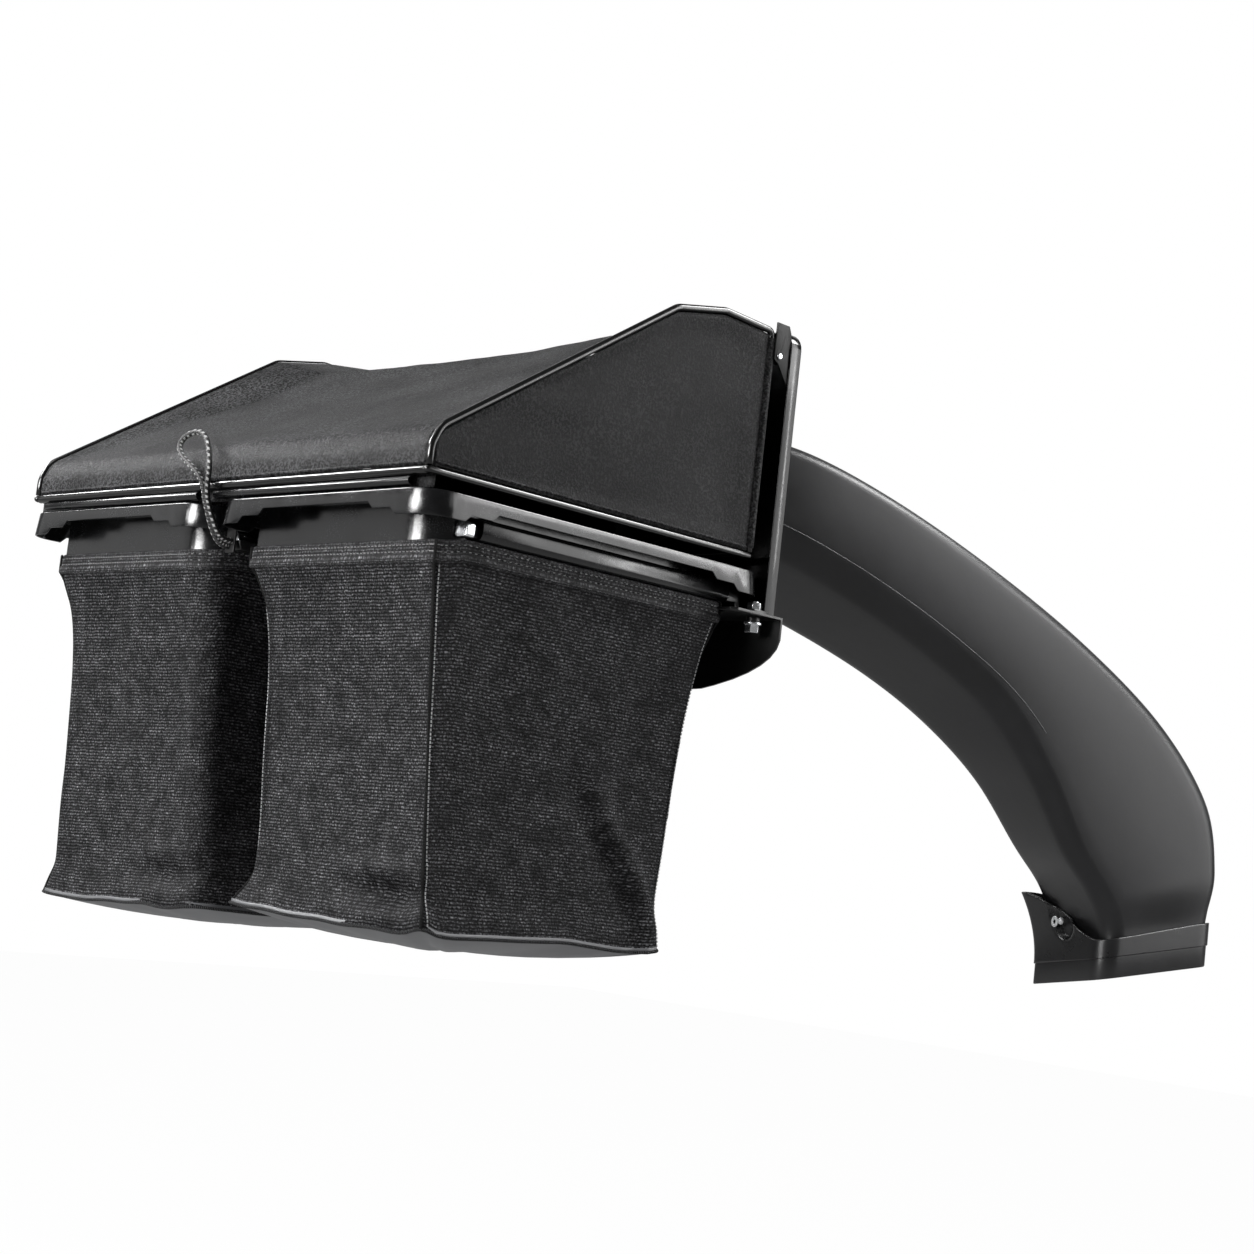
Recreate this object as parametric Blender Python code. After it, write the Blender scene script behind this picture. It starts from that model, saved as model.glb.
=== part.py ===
"""Twin-bag rear grass catcher for a ride-on mower.

Frame of the part: X to the mower's right, Y forward to the mower, Z up.
The origin is the centre of the hitch plate's front face, where the catcher
is held by the mower. Lengths are metres.
"""
import math

import bmesh
import bpy
from mathutils import Matrix, Vector

# Running gap between neighbouring solids
GAP = 0.0003

# Facets of a rim's and a bag's corners
CORNER_STEPS = 6

# Bag rims: moulded frames that hang side by side
RIM_WIDTH = 0.4525
RIM_SPACING = 0.0345
RIM_TOP_Z = 0.120
RIM_FRONT_Y = -0.025
RIM_CORNER_R = 0.045
RIM_WALL = 0.0025
RIM_DECK = 0.003
RIM_FLARE = 0.0025
SKIRT_LOW = 0.034
SKIRT_MID = 0.025
SKIRT_HIGH = 0.016
STEP_CHAMFER = 0.010
STEP_END = 0.062
STEP_MID = 0.055
NECK_SIDE_INSET = 0.043
NECK_REAR_INSET = 0.048
NECK_FRONT_INSET = 0.062
NECK_DEPTH = 0.086
NECK_CORNER_R = 0.048

# Mesh bags with a smooth sewn-in floor
BAG_WALL = 0.003
HEM_DROP = 0.065
HEM_HEIGHT = 0.026
BAG_DEPTH = 0.543
BAG_REAR_SLOPE = 0.050
BAG_FRONT_SLOPE = 0.033
BAG_SIDE_TAPER = 0.004
BAG_WAIST = 0.018
BAG_WAIST_POWER = 1.2
BAG_CORNER_SHARE = 0.35
BAG_SIDE_POINTS = 4
BAG_CORNER_R = 0.022
BAG_RINGS = 7
PAN_WALL = 0.003
PAN_SEAM = 0.012
PAN_BULGE = 0.034
PAN_RING_SHARES = (0.92, 0.78, 0.58, 0.34)
PAN_DISH_POWER = 2.2

# Hitch plate: web and top flange of one bent sheet
SHEET = 0.0035
HITCH_SIDE_MARGIN = 0.017
HITCH_TOP_Z = 0.0615
HITCH_DROP = 0.1165
HITCH_END_DROP = 0.032
HITCH_SHOULDER_IN = 0.142
HITCH_SHOULDER_DROP = 0.1035
HITCH_END_ROUND_IN = 0.007
HITCH_END_ROUND_DROP = 0.0766
HITCH_WAIST_X = 0.120
HITCH_EAR_CUT = 0.008
HITCH_FLANGE_DEPTH = 0.0825
HITCH_EAR_WIDTH = 0.0325
HITCH_EAR_DEPTH = 0.103
HITCH_HOLE_D = 0.011
HITCH_HOLE_X = 0.120
HITCH_HOLE_DROP = 0.035

# Bolts that hold the support arms on the flange
BOLT_IN = 0.025
BOLT_Y = -0.0345
BOLT_D = 0.012
BOLT_HEX = 0.019
BOLT_HEAD = 0.011
BOLT_FLANGE_D = 0.026
BOLT_FLANGE_T = 0.004
SPACER_T = 0.0075
SPACER_D = 0.020
NUT_T = 0.0105
THREAD_OUT = 0.002

# Support arms and the runners of the bags that ride on them
ARM_WIDTH = 0.010
ARM_HEIGHT = 0.015
ARM_NECK_GAP = 0.0015
ARM_REAR_OFFSET = 0.098
FOOT_T = 0.005
FOOT_DEPTH = 0.036
FOOT_MARGIN = 0.016
FOOT_MARGIN_INNER = 0.014
CAP_LENGTH = 0.014
CAP_WIDTH = 0.0215
CAP_HEIGHT = 0.020
CAP_NECK_GAP = 0.001
CAP_CORNER_R = 0.004
RUNNER_WIDTH = 0.0215
RUNNER_HEIGHT = 0.021
RUNNER_WALL = 0.002
RUNNER_TOP_DROP = 0.0273
RUNNER_REAR_OFFSET = 0.112
RUNNER_FRONT_OFFSET = 0.052

# Back panel: a shallow tray, open to the rear, in front of the hood
PANEL_SIDE_MARGIN = 0.0066
PANEL_TOP_Z = 0.477
PANEL_DEPTH = 0.022
PANEL_SHEET = 0.0025
PANEL_CORNER_R = 0.026
PANEL_LIFT = 0.0005

# Hood: soft cover on a rod frame
HOOD_HALF_WIDTH = 0.4614
HOOD_LENGTH = 0.605
HOOD_FRONT_GAP = 0.025
HOOD_BASE_Z = 0.142
ROD_D = 0.010
RAIL_D = 0.013
HOOD_REAR_WALL = 0.030
HOOD_REAR_LEAN = 0.012
HOOD_SHOULDER_RISE = 0.057
HOOD_RIDGE_Y = 0.405
HOOD_RIDGE_RISE = 0.310
HOOD_CROWN_Y = 0.500
HOOD_CROWN_RISE = 0.330
HOOD_FRONT_RISE = 0.324
HOOD_BEND_R = 0.030
CLOTH = 0.002
HOOD_SAG = 0.030
HOOD_SAG_SIDE_POWER = 3
HOOD_SAG_LENGTH_POWER = 1.35
CLOTH_COLUMNS = 14
CLOTH_ROWS = 20
CLIP_DROP = 0.013
CLIP_HEIGHT = 0.013
CLIP_DEPTH = 0.008
CLIP_WALL = 0.002
CLIP_END = 0.035
CLIP_CENTRE_LEFT = 0.030
CLIP_CENTRE_RIGHT = 0.011

# Hood hinge
HINGE_SET_IN = 0.006
HINGE_DROP = 0.033
PIN_D = 0.006
PIN_HEAD_D = 0.010
PIN_HEAD_T = 0.003
EAR_T = 0.005
EAR_SET_IN = 0.0025
EAR_R = 0.012
EAR_NOSE_R = 0.0096
GUSSET_T = 0.0025
GUSSET_TOP_Z = 0.481
GUSSET_FOOT_Z = 0.395
GUSSET_NOSE = 0.009
GUSSET_CUT = 0.005
CLIP_RING_D = 0.012
CLIP_RING_T = 0.002

# Names of the pieces that turn with the hood begin so
HOOD_PIECES = ("hood_", "hinge_ear_", "latch_hook", "pull_cord")

# Latch between the bags and its pull cord
LATCH_ARM_WIDTH = 0.022
LATCH_ARM_DROP = 0.045
LATCH_ARM_REAR = 0.052
LATCH_WIDTH = 0.020
LATCH_T = 0.003
LATCH_Y_OFFSET = 0.048
LATCH_LENGTH = 0.088
LATCH_TOP_LIFT = 0.002
LATCH_ARM_NOSE = 0.004
CORD_D = 0.007
CORD_SAMPLES = 46
CORD_ROUTE = (
    (-0.004, 0.0441, -0.0555), (-0.004, 0.034, -0.0545), (-0.005, 0.024, -0.047),
    (-0.0055, 0.013, -0.030), (-0.0055, 0.004, -0.010), (-0.005, -0.003, 0.006),
    (-0.004, -0.009, 0.021), (-0.011, -0.013, 0.036), (-0.026, -0.014, 0.050),
    (-0.044, -0.011, 0.064), (-0.060, -0.006, 0.080), (-0.056, -0.001, 0.093),
    (-0.036, 0.000, 0.096), (-0.017, -0.003, 0.087), (0.000, -0.009, 0.066),
    (0.012, -0.0135, 0.044), (0.012, -0.013, 0.028), (0.005, -0.007, 0.010),
    (0.003, 0.000, -0.006), (0.003, 0.009, -0.024), (0.0035, 0.019, -0.040),
    (0.004, 0.031, -0.0475), (0.004, 0.0441, -0.0480),
)

# Discharge chute: a bent duct that heads out to the right of the mower
CHUTE_HEADING = math.radians(22.0)
CHUTE_START_X = 0.350
CHUTE_START_Y = -0.015
CHUTE_WIDTH = 0.185
CHUTE_WALL = 0.003
CHUTE_CORNER_R = 0.030
CHUTE_STATIONS = 23
CHUTE_ENTRY_SHARE = 0.18
CHUTE_TOP_EDGE = (
    (-0.008, 0.348), (0.132, 0.337), (0.303, 0.308), (0.493, 0.228), (0.673, 0.125),
    (0.826, 0.013), (0.926, -0.102), (0.955, -0.208), (0.947, -0.278), (0.941, -0.321),
)
CHUTE_LOW_EDGE = (
    (-0.008, 0.211), (0.100, 0.185), (0.250, 0.133), (0.395, 0.066), (0.512, -0.008),
    (0.598, -0.108), (0.664, -0.212), (0.720, -0.275), (0.747, -0.318), (0.751, -0.355),
)
CHUTE_LEFT_DROP = (
    (0.000, -0.070), (-0.013, -0.067), (-0.025, -0.051), (-0.026, -0.031), (-0.020, -0.015),
    (-0.004, 0.004), (0.004, 0.008), (0.014, 0.015), (0.004, -0.005), (0.004, -0.018),
)
CHUTE_LEFT_TOP_SHARE = 0.6

# Boot at the chute's lower end and the deck adapter below it
BOOT_REAR = 0.735
BOOT_LENGTH = 0.217
BOOT_WALL = 0.0035
MOUTH_Z = -0.402
MOUTH_RISE_FORWARD = 0.190
MOUTH_RISE_RIGHT = 0.120
ADAPTER_HEIGHT = 0.033
ADAPTER_LEDGE = 0.002
BOOT_VALLEY = 0.028
BOOT_EAR = 0.114
BOOT_FRONT = 0.036
BOOT_FLARE = 0.024
BOOT_MIDDLE_SHARE = 0.55
BOOT_MIDDLE_FLARE = 0.006
BOOT_CLEAR = 0.001
BOOT_SCREW_SIDE = 0.122
BOOT_SCREW_RISE = 0.098
BOOT_SCREW_D = 0.006
BOOT_SCREW_HEAD_D = 0.012
BOOT_SCREW_HEAD_T = 0.004
BOOT_WASHER_D = 0.018
BOOT_WASHER_T = 0.0015
BOOT_PAD_D = 0.022
BOOT_PAD_OUT = 0.005

# Places that follow from the sizes above
RIM_LENGTH = HOOD_LENGTH + HOOD_FRONT_GAP
RIM_REAR_Y = RIM_FRONT_Y - RIM_LENGTH
RUNNER_LENGTH = RIM_LENGTH - RUNNER_REAR_OFFSET - RUNNER_FRONT_OFFSET
RIM_CENTRE_X = (RIM_WIDTH + RIM_SPACING) / 2
RIM_CENTRE_Y = RIM_FRONT_Y - RIM_LENGTH / 2
NECK_HALF_X = RIM_WIDTH / 2 - NECK_SIDE_INSET
NECK_REAR_Y = RIM_REAR_Y + NECK_REAR_INSET
NECK_FRONT_Y = RIM_FRONT_Y - NECK_FRONT_INSET
HOOD_REAR_Y = RIM_REAR_Y
HOOD_FRONT_Y = HOOD_REAR_Y + HOOD_LENGTH
ROD_X = HOOD_HALF_WIDTH - ROD_D / 2
HINGE_Y = HOOD_FRONT_Y + HINGE_SET_IN
HINGE_Z = HOOD_BASE_Z + HOOD_FRONT_RISE - HINGE_DROP
PANEL_HALF_WIDTH = HOOD_HALF_WIDTH + PANEL_SIDE_MARGIN
HITCH_HALF_WIDTH = PANEL_HALF_WIDTH + HITCH_SIDE_MARGIN
HITCH_END_ROUND_X = HITCH_HALF_WIDTH - HITCH_END_ROUND_IN
HITCH_SHOULDER_X = HITCH_HALF_WIDTH - HITCH_SHOULDER_IN
HITCH_EAR_X = HITCH_HALF_WIDTH - HITCH_EAR_WIDTH
BOLT_X = HITCH_HALF_WIDTH - BOLT_IN
BOOT_WIDTH = CHUTE_WIDTH + 2 * (BOOT_WALL + BOOT_CLEAR)
BOOT_CORNER_R = CHUTE_CORNER_R + BOOT_WALL + BOOT_CLEAR


def make_material(name, colour, roughness, metallic=0.0):
    """Make one Principled material from a linear colour."""
    material = bpy.data.materials.new(name)
    material.use_nodes = True
    shader = material.node_tree.nodes["Principled BSDF"]
    shader.inputs["Base Color"].default_value = (*colour, 1.0)
    shader.inputs["Roughness"].default_value = roughness
    shader.inputs["Metallic"].default_value = metallic
    material.diffuse_color = (*colour, 1.0)
    return material


def clear_scene():
    """Remove every object of the open file."""
    for obj in list(bpy.data.objects):
        bpy.data.objects.remove(obj, do_unlink=True)


def add_object(name, data, material):
    """Link one named object with its material."""
    obj = bpy.data.objects.new(name, data)
    data.materials.append(material)
    bpy.context.scene.collection.objects.link(obj)
    return obj


def mesh_object(name, bm, material, smooth_angle=30.0):
    """Turn a bmesh into a named object with faces that point out."""
    bmesh.ops.recalc_face_normals(bm, faces=bm.faces)
    mesh = bpy.data.meshes.new(name)
    bm.to_mesh(mesh)
    bm.free()
    mesh.shade_smooth()
    mesh.set_sharp_from_angle(angle=math.radians(smooth_angle))
    return add_object(name, mesh, material)


def bridge(bm, ring_a, ring_b):
    """Join two rings of as many vertices with quads."""
    count = len(ring_a)
    for i in range(count):
        j = (i + 1) % count
        bm.faces.new((ring_a[i], ring_a[j], ring_b[j], ring_b[i]))


def add_ring(bm, points):
    """Add one ring of vertices."""
    return [bm.verts.new(point) for point in points]


def loop_of_rings(name, rings, material, smooth_angle=30.0):
    """Close a row of rings on itself, as a wall with an opening through it."""
    bm = bmesh.new()
    made = [add_ring(bm, ring) for ring in rings]
    for first, second in zip(made, made[1:] + made[:1]):
        bridge(bm, first, second)
    return mesh_object(name, bm, material, smooth_angle)


def capped_rings(name, rings, material, smooth_angle=30.0):
    """Loft a row of rings and cap both ends."""
    bm = bmesh.new()
    made = [add_ring(bm, ring) for ring in rings]
    for first, second in zip(made, made[1:]):
        bridge(bm, first, second)
    bm.faces.new(made[0])
    bm.faces.new(made[-1])
    return mesh_object(name, bm, material, smooth_angle)


def prism(name, outline, low, high, place, material):
    """Extrude a flat outline; place turns (a, b, depth) into a point."""
    rings = [[place(a, b, depth) for a, b in outline] for depth in (low, high)]
    return capped_rings(name, rings, material)


def along_x(a, b, depth):
    """Place an outline of the Y-Z plane at the depth X."""
    return (depth, a, b)


def along_y(a, b, depth):
    """Place an outline of the X-Z plane at the depth Y."""
    return (a, depth, b)


def along_z(a, b, depth):
    """Place an outline of the X-Y plane at the depth Z."""
    return (a, b, depth)


def circle(centre_a, centre_b, diameter, count=20, turn=0.0):
    """Points of a circle in a plane."""
    return [
        (centre_a + diameter / 2 * math.cos(turn + math.tau * i / count),
         centre_b + diameter / 2 * math.sin(turn + math.tau * i / count))
        for i in range(count)
    ]


def rounded_box(half_a, half_b, radius, steps=5):
    """Corner-rounded rectangle about (0, 0), counted from its right side."""
    radius = min(radius, half_a * 0.98, half_b * 0.98)
    points = []
    for quarter in range(4):
        sign_a = 1 if quarter in (0, 3) else -1
        sign_b = 1 if quarter in (0, 1) else -1
        for i in range(steps + 1):
            angle = math.pi / 2 * (quarter + i / steps)
            points.append((sign_a * (half_a - radius) + radius * math.cos(angle),
                           sign_b * (half_b - radius) + radius * math.sin(angle)))
    return points


def spline(points, share):
    """Point at a share of a smooth curve through a row of points."""
    last = len(points) - 1
    span = min(int(share * last), last - 1)
    t = share * last - span
    knots = [Vector(points[min(max(span + k, 0), last)]) for k in (-1, 0, 1, 2)]
    before, start, end, after = knots
    return 0.5 * (2 * start + (end - before) * t
                  + (2 * before - 5 * start + 4 * end - after) * t * t
                  + (3 * start - before - 3 * end + after) * t ** 3)


def rounded_path(points, radius, steps=6):
    """Replace the inner corners of a path by arcs."""
    path = [Vector(points[0])]
    for before, corner, after in zip(points, points[1:], points[2:]):
        corner = Vector(corner)
        to_before = (Vector(before) - corner)
        to_after = (Vector(after) - corner)
        half = to_before.angle(to_after) / 2
        cut = min(radius / math.tan(half), to_before.length * 0.45, to_after.length * 0.45)
        start = corner + to_before.normalized() * cut
        end = corner + to_after.normalized() * cut
        for i in range(steps + 1):
            t = i / steps
            path.append(start * (1 - t) ** 2 + corner * 2 * t * (1 - t) + end * t * t)
    path.append(Vector(points[-1]))
    return path


def rod(name, path, diameter, material, resolution=3):
    """Make a round rod along a path."""
    curve = bpy.data.curves.new(name, "CURVE")
    curve.dimensions = "3D"
    curve.bevel_depth = diameter / 2
    curve.bevel_resolution = resolution
    curve.use_fill_caps = True
    line = curve.splines.new("POLY")
    line.points.add(len(path) - 1)
    for point, place in zip(line.points, path):
        point.co = (*place, 1.0)
    return add_object(name, curve, material)


def add_boolean(obj, other, operation):
    """Cut or join another object, which then only guides the shape."""
    modifier = obj.modifiers.new(operation.title(), "BOOLEAN")
    modifier.operation = operation
    modifier.solver = "EXACT"
    modifier.object = other
    other.hide_render = True
    other.display_type = "WIRE"


def set_origin(obj, place):
    """Move an object's origin without moving its shape."""
    obj.data.transform(Matrix.Translation(-Vector(place)))
    obj.location = place


def sides():
    """Name and sign of the two sides of the catcher."""
    return (("right", 1), ("left", -1))


# Materials

def finishes():
    """Make the materials of the catcher."""
    return {
        "gloss": make_material("gloss_black_moulding", (0.012, 0.012, 0.013), 0.18),
        "steel": make_material("black_coated_steel", (0.010, 0.010, 0.010), 0.25, 0.2),
        "zinc": make_material("zinc_plate", (0.55, 0.56, 0.58), 0.28, 1.0),
        "mesh": make_material("black_bag_mesh", (0.022, 0.022, 0.023), 0.85),
        "pan": make_material("grey_vinyl_floor", (0.085, 0.085, 0.088), 0.55),
        "cloth": make_material("charcoal_cover_cloth", (0.035, 0.035, 0.036), 0.90),
        "duct": make_material("satin_black_duct", (0.030, 0.030, 0.031), 0.48),
        "cord": make_material("flecked_black_cord", (0.015, 0.015, 0.015), 0.70),
    }


# Bag rims

def rim_outline(inset):
    """Outline of a rim, with the stations of its stepped skirt.

    Each entry is (x, y, skirt depth) about the rim's centre.
    """
    half_x = RIM_WIDTH / 2
    half_y = RIM_LENGTH / 2
    points = []
    for quarter in range(4):
        sign_x = 1 if quarter in (0, 3) else -1
        sign_y = 1 if quarter in (0, 1) else -1
        radius = RIM_CORNER_R - inset
        centre = (sign_x * (half_x - RIM_CORNER_R), sign_y * (half_y - RIM_CORNER_R))
        for i in range(CORNER_STEPS + 1):
            angle = math.pi / 2 * (quarter + i / CORNER_STEPS)
            points.append((centre[0] + radius * math.cos(angle),
                           centre[1] + radius * math.sin(angle), SKIRT_LOW))
        run_x = quarter in (0, 2)
        half_run = half_x if run_x else half_y
        across = (half_y if run_x else half_x) - inset
        heading = -1 if quarter in (0, 1) else 1
        for along, depth in skirt_steps(half_run):
            if run_x:
                points.append((heading * along, sign_y * across, depth))
            else:
                points.append((sign_x * across, heading * along, depth))
    return points


def skirt_steps(half_run):
    """Skirt depth along one side, from one corner to the other."""
    low_end = half_run - STEP_END
    mid_start = low_end - STEP_CHAMFER
    mid_end = mid_start - STEP_MID + 2 * STEP_CHAMFER
    high_start = mid_end - STEP_CHAMFER
    rising = ((-low_end, SKIRT_LOW), (-mid_start, SKIRT_MID),
              (-mid_end, SKIRT_MID), (-high_start, SKIRT_HIGH))
    falling = tuple((-along, depth) for along, depth in reversed(rising))
    return rising + falling


def neck_outline(outline, offset):
    """Map each point of the rim's outline to the neck below it."""
    half_x = NECK_HALF_X - offset
    rear = NECK_REAR_Y - RIM_CENTRE_Y + offset
    front = NECK_FRONT_Y - RIM_CENTRE_Y - offset
    rim_x = RIM_WIDTH / 2 - RIM_CORNER_R
    rim_y = RIM_LENGTH / 2 - RIM_CORNER_R
    radius = NECK_CORNER_R - offset
    points = []
    for x, y, _ in outline:
        core_x = max(-rim_x, min(rim_x, x))
        core_y = max(-rim_y, min(rim_y, y))
        out_x = x - core_x
        out_y = y - core_y
        length = math.hypot(out_x, out_y)
        centre_x = core_x / rim_x * (half_x - radius)
        share_y = (core_y / rim_y + 1) / 2
        centre_y = (rear + radius) + share_y * (front - rear - 2 * radius)
        points.append((centre_x + radius * out_x / length, centre_y + radius * out_y / length))
    return points


def make_rim(name, centre_x, material):
    """Make a moulded rim: top deck, stepped outer skirt and inner neck."""
    outer = rim_outline(0.0)
    inner = rim_outline(RIM_WALL)
    neck_out = neck_outline(outer, 0.0)
    neck_in = neck_outline(outer, RIM_WALL)
    deck_z = RIM_TOP_Z - RIM_DECK
    neck_z = RIM_TOP_Z - NECK_DEPTH

    def skirt(points, flare):
        placed = []
        for x, y, depth in points:
            grow_x = 1 + flare / (RIM_WIDTH / 2)
            grow_y = 1 + flare / (RIM_LENGTH / 2)
            placed.append((centre_x + x * grow_x, RIM_CENTRE_Y + y * grow_y, RIM_TOP_Z - depth))
        return placed

    def level(points, z):
        return [(centre_x + p[0], RIM_CENTRE_Y + p[1], z) for p in points]

    rings = [
        level(outer, RIM_TOP_Z), skirt(outer, RIM_FLARE), skirt(inner, RIM_FLARE),
        level(inner, deck_z), level(neck_out, deck_z), level(neck_out, neck_z),
        level(neck_in, neck_z), level(neck_in, RIM_TOP_Z),
    ]
    return loop_of_rings(name, rings, material, 25.0)


# Bags

def bag_ring(centre_x, drop, inset):
    """Outline of the bag at a drop below the top of its hem."""
    share = max(0.0, (drop - HEM_HEIGHT) / (BAG_DEPTH - HEM_DROP - HEM_HEIGHT))
    bow = BAG_WAIST * math.sin(math.pi * share) ** BAG_WAIST_POWER
    half_x = NECK_HALF_X + BAG_WALL + GAP - BAG_SIDE_TAPER * share
    rear = NECK_REAR_Y - BAG_WALL - GAP + BAG_REAR_SLOPE * share
    front = NECK_FRONT_Y + BAG_WALL + GAP - BAG_FRONT_SLOPE * share
    half_y = (front - rear) / 2
    z = RIM_TOP_Z - HEM_DROP - drop
    points = []
    outline = rounded_box(half_x - inset, half_y - inset, BAG_CORNER_R - inset, CORNER_STEPS)
    filled = add_side_points(outline, BAG_SIDE_POINTS)
    for x, y in filled:
        pull_x = bow * waist_share(y / half_y) * (1 if x > 0 else -1) * (abs(x) / half_x) ** 4
        pull_y = bow * waist_share(x / half_x) * (1 if y > 0 else -1) * (abs(y) / half_y) ** 4
        points.append((centre_x + x - pull_x, (front + rear) / 2 + y - pull_y, z))
    return points


def waist_share(place):
    """Share of the waist's pull from a side's middle (0) to its corners (1)."""
    return BAG_CORNER_SHARE + (1 - BAG_CORNER_SHARE) * (1 - min(abs(place), 1.0) ** 2)


def add_side_points(outline, count):
    """Add points on the long straight stretches of an outline."""
    filled = []
    steps = len(outline) // 4
    for i, point in enumerate(outline):
        filled.append(point)
        if i % steps == steps - 1:
            after = outline[(i + 1) % len(outline)]
            for k in range(1, count + 1):
                t = k / (count + 1)
                filled.append((point[0] * (1 - t) + after[0] * t,
                               point[1] * (1 - t) + after[1] * t))
    return filled


def make_bag(name, centre_x, material):
    """Make the mesh wall of a bag, open at its hem and at its floor."""
    fall = BAG_DEPTH - HEM_DROP - HEM_HEIGHT
    drops = [0.0] + [HEM_HEIGHT + fall * i / (BAG_RINGS - 1) for i in range(BAG_RINGS)]
    outer = [bag_ring(centre_x, drop, 0.0) for drop in drops]
    inner = [bag_ring(centre_x, drop, BAG_WALL) for drop in reversed(drops)]
    return loop_of_rings(name, outer + inner, material, 40.0)


def make_pan(name, centre_x, material):
    """Make the dished floor that is sewn into the bag's lower edge."""
    bag_drop = BAG_DEPTH - HEM_DROP
    edge = bag_ring(centre_x, bag_drop, BAG_WALL + GAP)
    rim = bag_ring(centre_x, bag_drop - PAN_SEAM, BAG_WALL + 2 * GAP)
    middle_x = centre_x
    middle_y = sum(point[1] for point in edge) / len(edge)
    seam_z = edge[0][2]

    def dish(scale, z):
        return [(middle_x + (p[0] - middle_x) * scale,
                 middle_y + (p[1] - middle_y) * scale, z) for p in edge]

    depths = [(s, seam_z - PAN_BULGE * (1 - s ** PAN_DISH_POWER)) for s in PAN_RING_SHARES]
    lower = [dish(s, z) for s, z in depths]
    upper = [dish(s, z + PAN_WALL) for s, z in depths]
    inner_rim = bag_ring(centre_x, bag_drop - PAN_SEAM, BAG_WALL + PAN_WALL + 2 * GAP)
    rings = list(reversed(lower)) + [edge, rim, inner_rim] + upper
    return capped_rings(name, rings, material, 40.0)


# Hitch plate

def hitch_web_outline():
    """Outline of the plate's web in the X-Z plane."""
    top = HITCH_TOP_Z - SHEET / 2
    end = [(HITCH_HALF_WIDTH, top), (HITCH_HALF_WIDTH, HITCH_TOP_Z - HITCH_END_DROP)]
    corner = Vector((HITCH_END_ROUND_X, HITCH_TOP_Z - HITCH_END_ROUND_DROP))
    start = Vector(end[1])
    shoulder = Vector((HITCH_SHOULDER_X, HITCH_TOP_Z - HITCH_SHOULDER_DROP))
    arc = [start * (1 - t) ** 2 + corner * 2 * t * (1 - t) + shoulder * t * t
           for t in (0.15, 0.3, 0.45, 0.6, 0.75, 0.9)]
    waist = (HITCH_WAIST_X, HITCH_TOP_Z - HITCH_DROP)
    right = end + [tuple(p) for p in arc] + [tuple(shoulder), waist]
    left = [(-x, z) for x, z in reversed(right)]
    return right + left


def hitch_flange_outline():
    """Outline of the plate's top flange in the X-Y plane."""
    right = [(HITCH_HALF_WIDTH, 0.0), (HITCH_HALF_WIDTH, HITCH_EAR_CUT - HITCH_EAR_DEPTH),
             (HITCH_HALF_WIDTH - HITCH_EAR_CUT, -HITCH_EAR_DEPTH),
             (HITCH_EAR_X, -HITCH_EAR_DEPTH), (HITCH_EAR_X, -HITCH_FLANGE_DEPTH)]
    left = [(-x, y) for x, y in reversed(right)]
    return right + left


def make_hitch_plate(material):
    """Make the bent plate that hangs the catcher on the mower."""
    plate = prism("hitch_crossplate", hitch_flange_outline(), HITCH_TOP_Z - SHEET,
                  HITCH_TOP_Z, along_z, material)
    web = prism("guide_hitch_web", hitch_web_outline(), -SHEET, 0.0, along_y, material)
    add_boolean(plate, web, "UNION")
    for x in (-BOLT_X, -inner_bolt_x(), inner_bolt_x(), BOLT_X):
        hole = prism("guide_bolt_hole", circle(x, BOLT_Y, BOLT_D + 4 * GAP),
                     HITCH_TOP_Z - 2 * SHEET, HITCH_TOP_Z + SHEET, along_z, material)
        add_boolean(plate, hole, "DIFFERENCE")
    for sign_x in (-1, 1):
        for sign_z in (-1, 1):
            hole = prism("guide_hitch_hole",
                         circle(sign_x * HITCH_HOLE_X, sign_z * HITCH_HOLE_DROP, HITCH_HOLE_D),
                         -2 * SHEET, SHEET, along_y, material)
            add_boolean(plate, hole, "DIFFERENCE")
    return plate


# Support arms, their bolts and the runners

def arm_centre_x(inner):
    """Distance of an arm's centre line from the middle of the catcher."""
    offset = NECK_HALF_X + ARM_NECK_GAP + ARM_WIDTH / 2
    return RIM_CENTRE_X - offset if inner else RIM_CENTRE_X + offset


def inner_bolt_x():
    """Distance of the inner bolts from the middle of the catcher."""
    return arm_centre_x(True) - ARM_WIDTH / 2 - FOOT_MARGIN


def arm_top_z():
    """Height of the arm's upper face, under the runner's upper wall."""
    return RIM_TOP_Z - RUNNER_TOP_DROP - RUNNER_WALL - GAP


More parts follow.
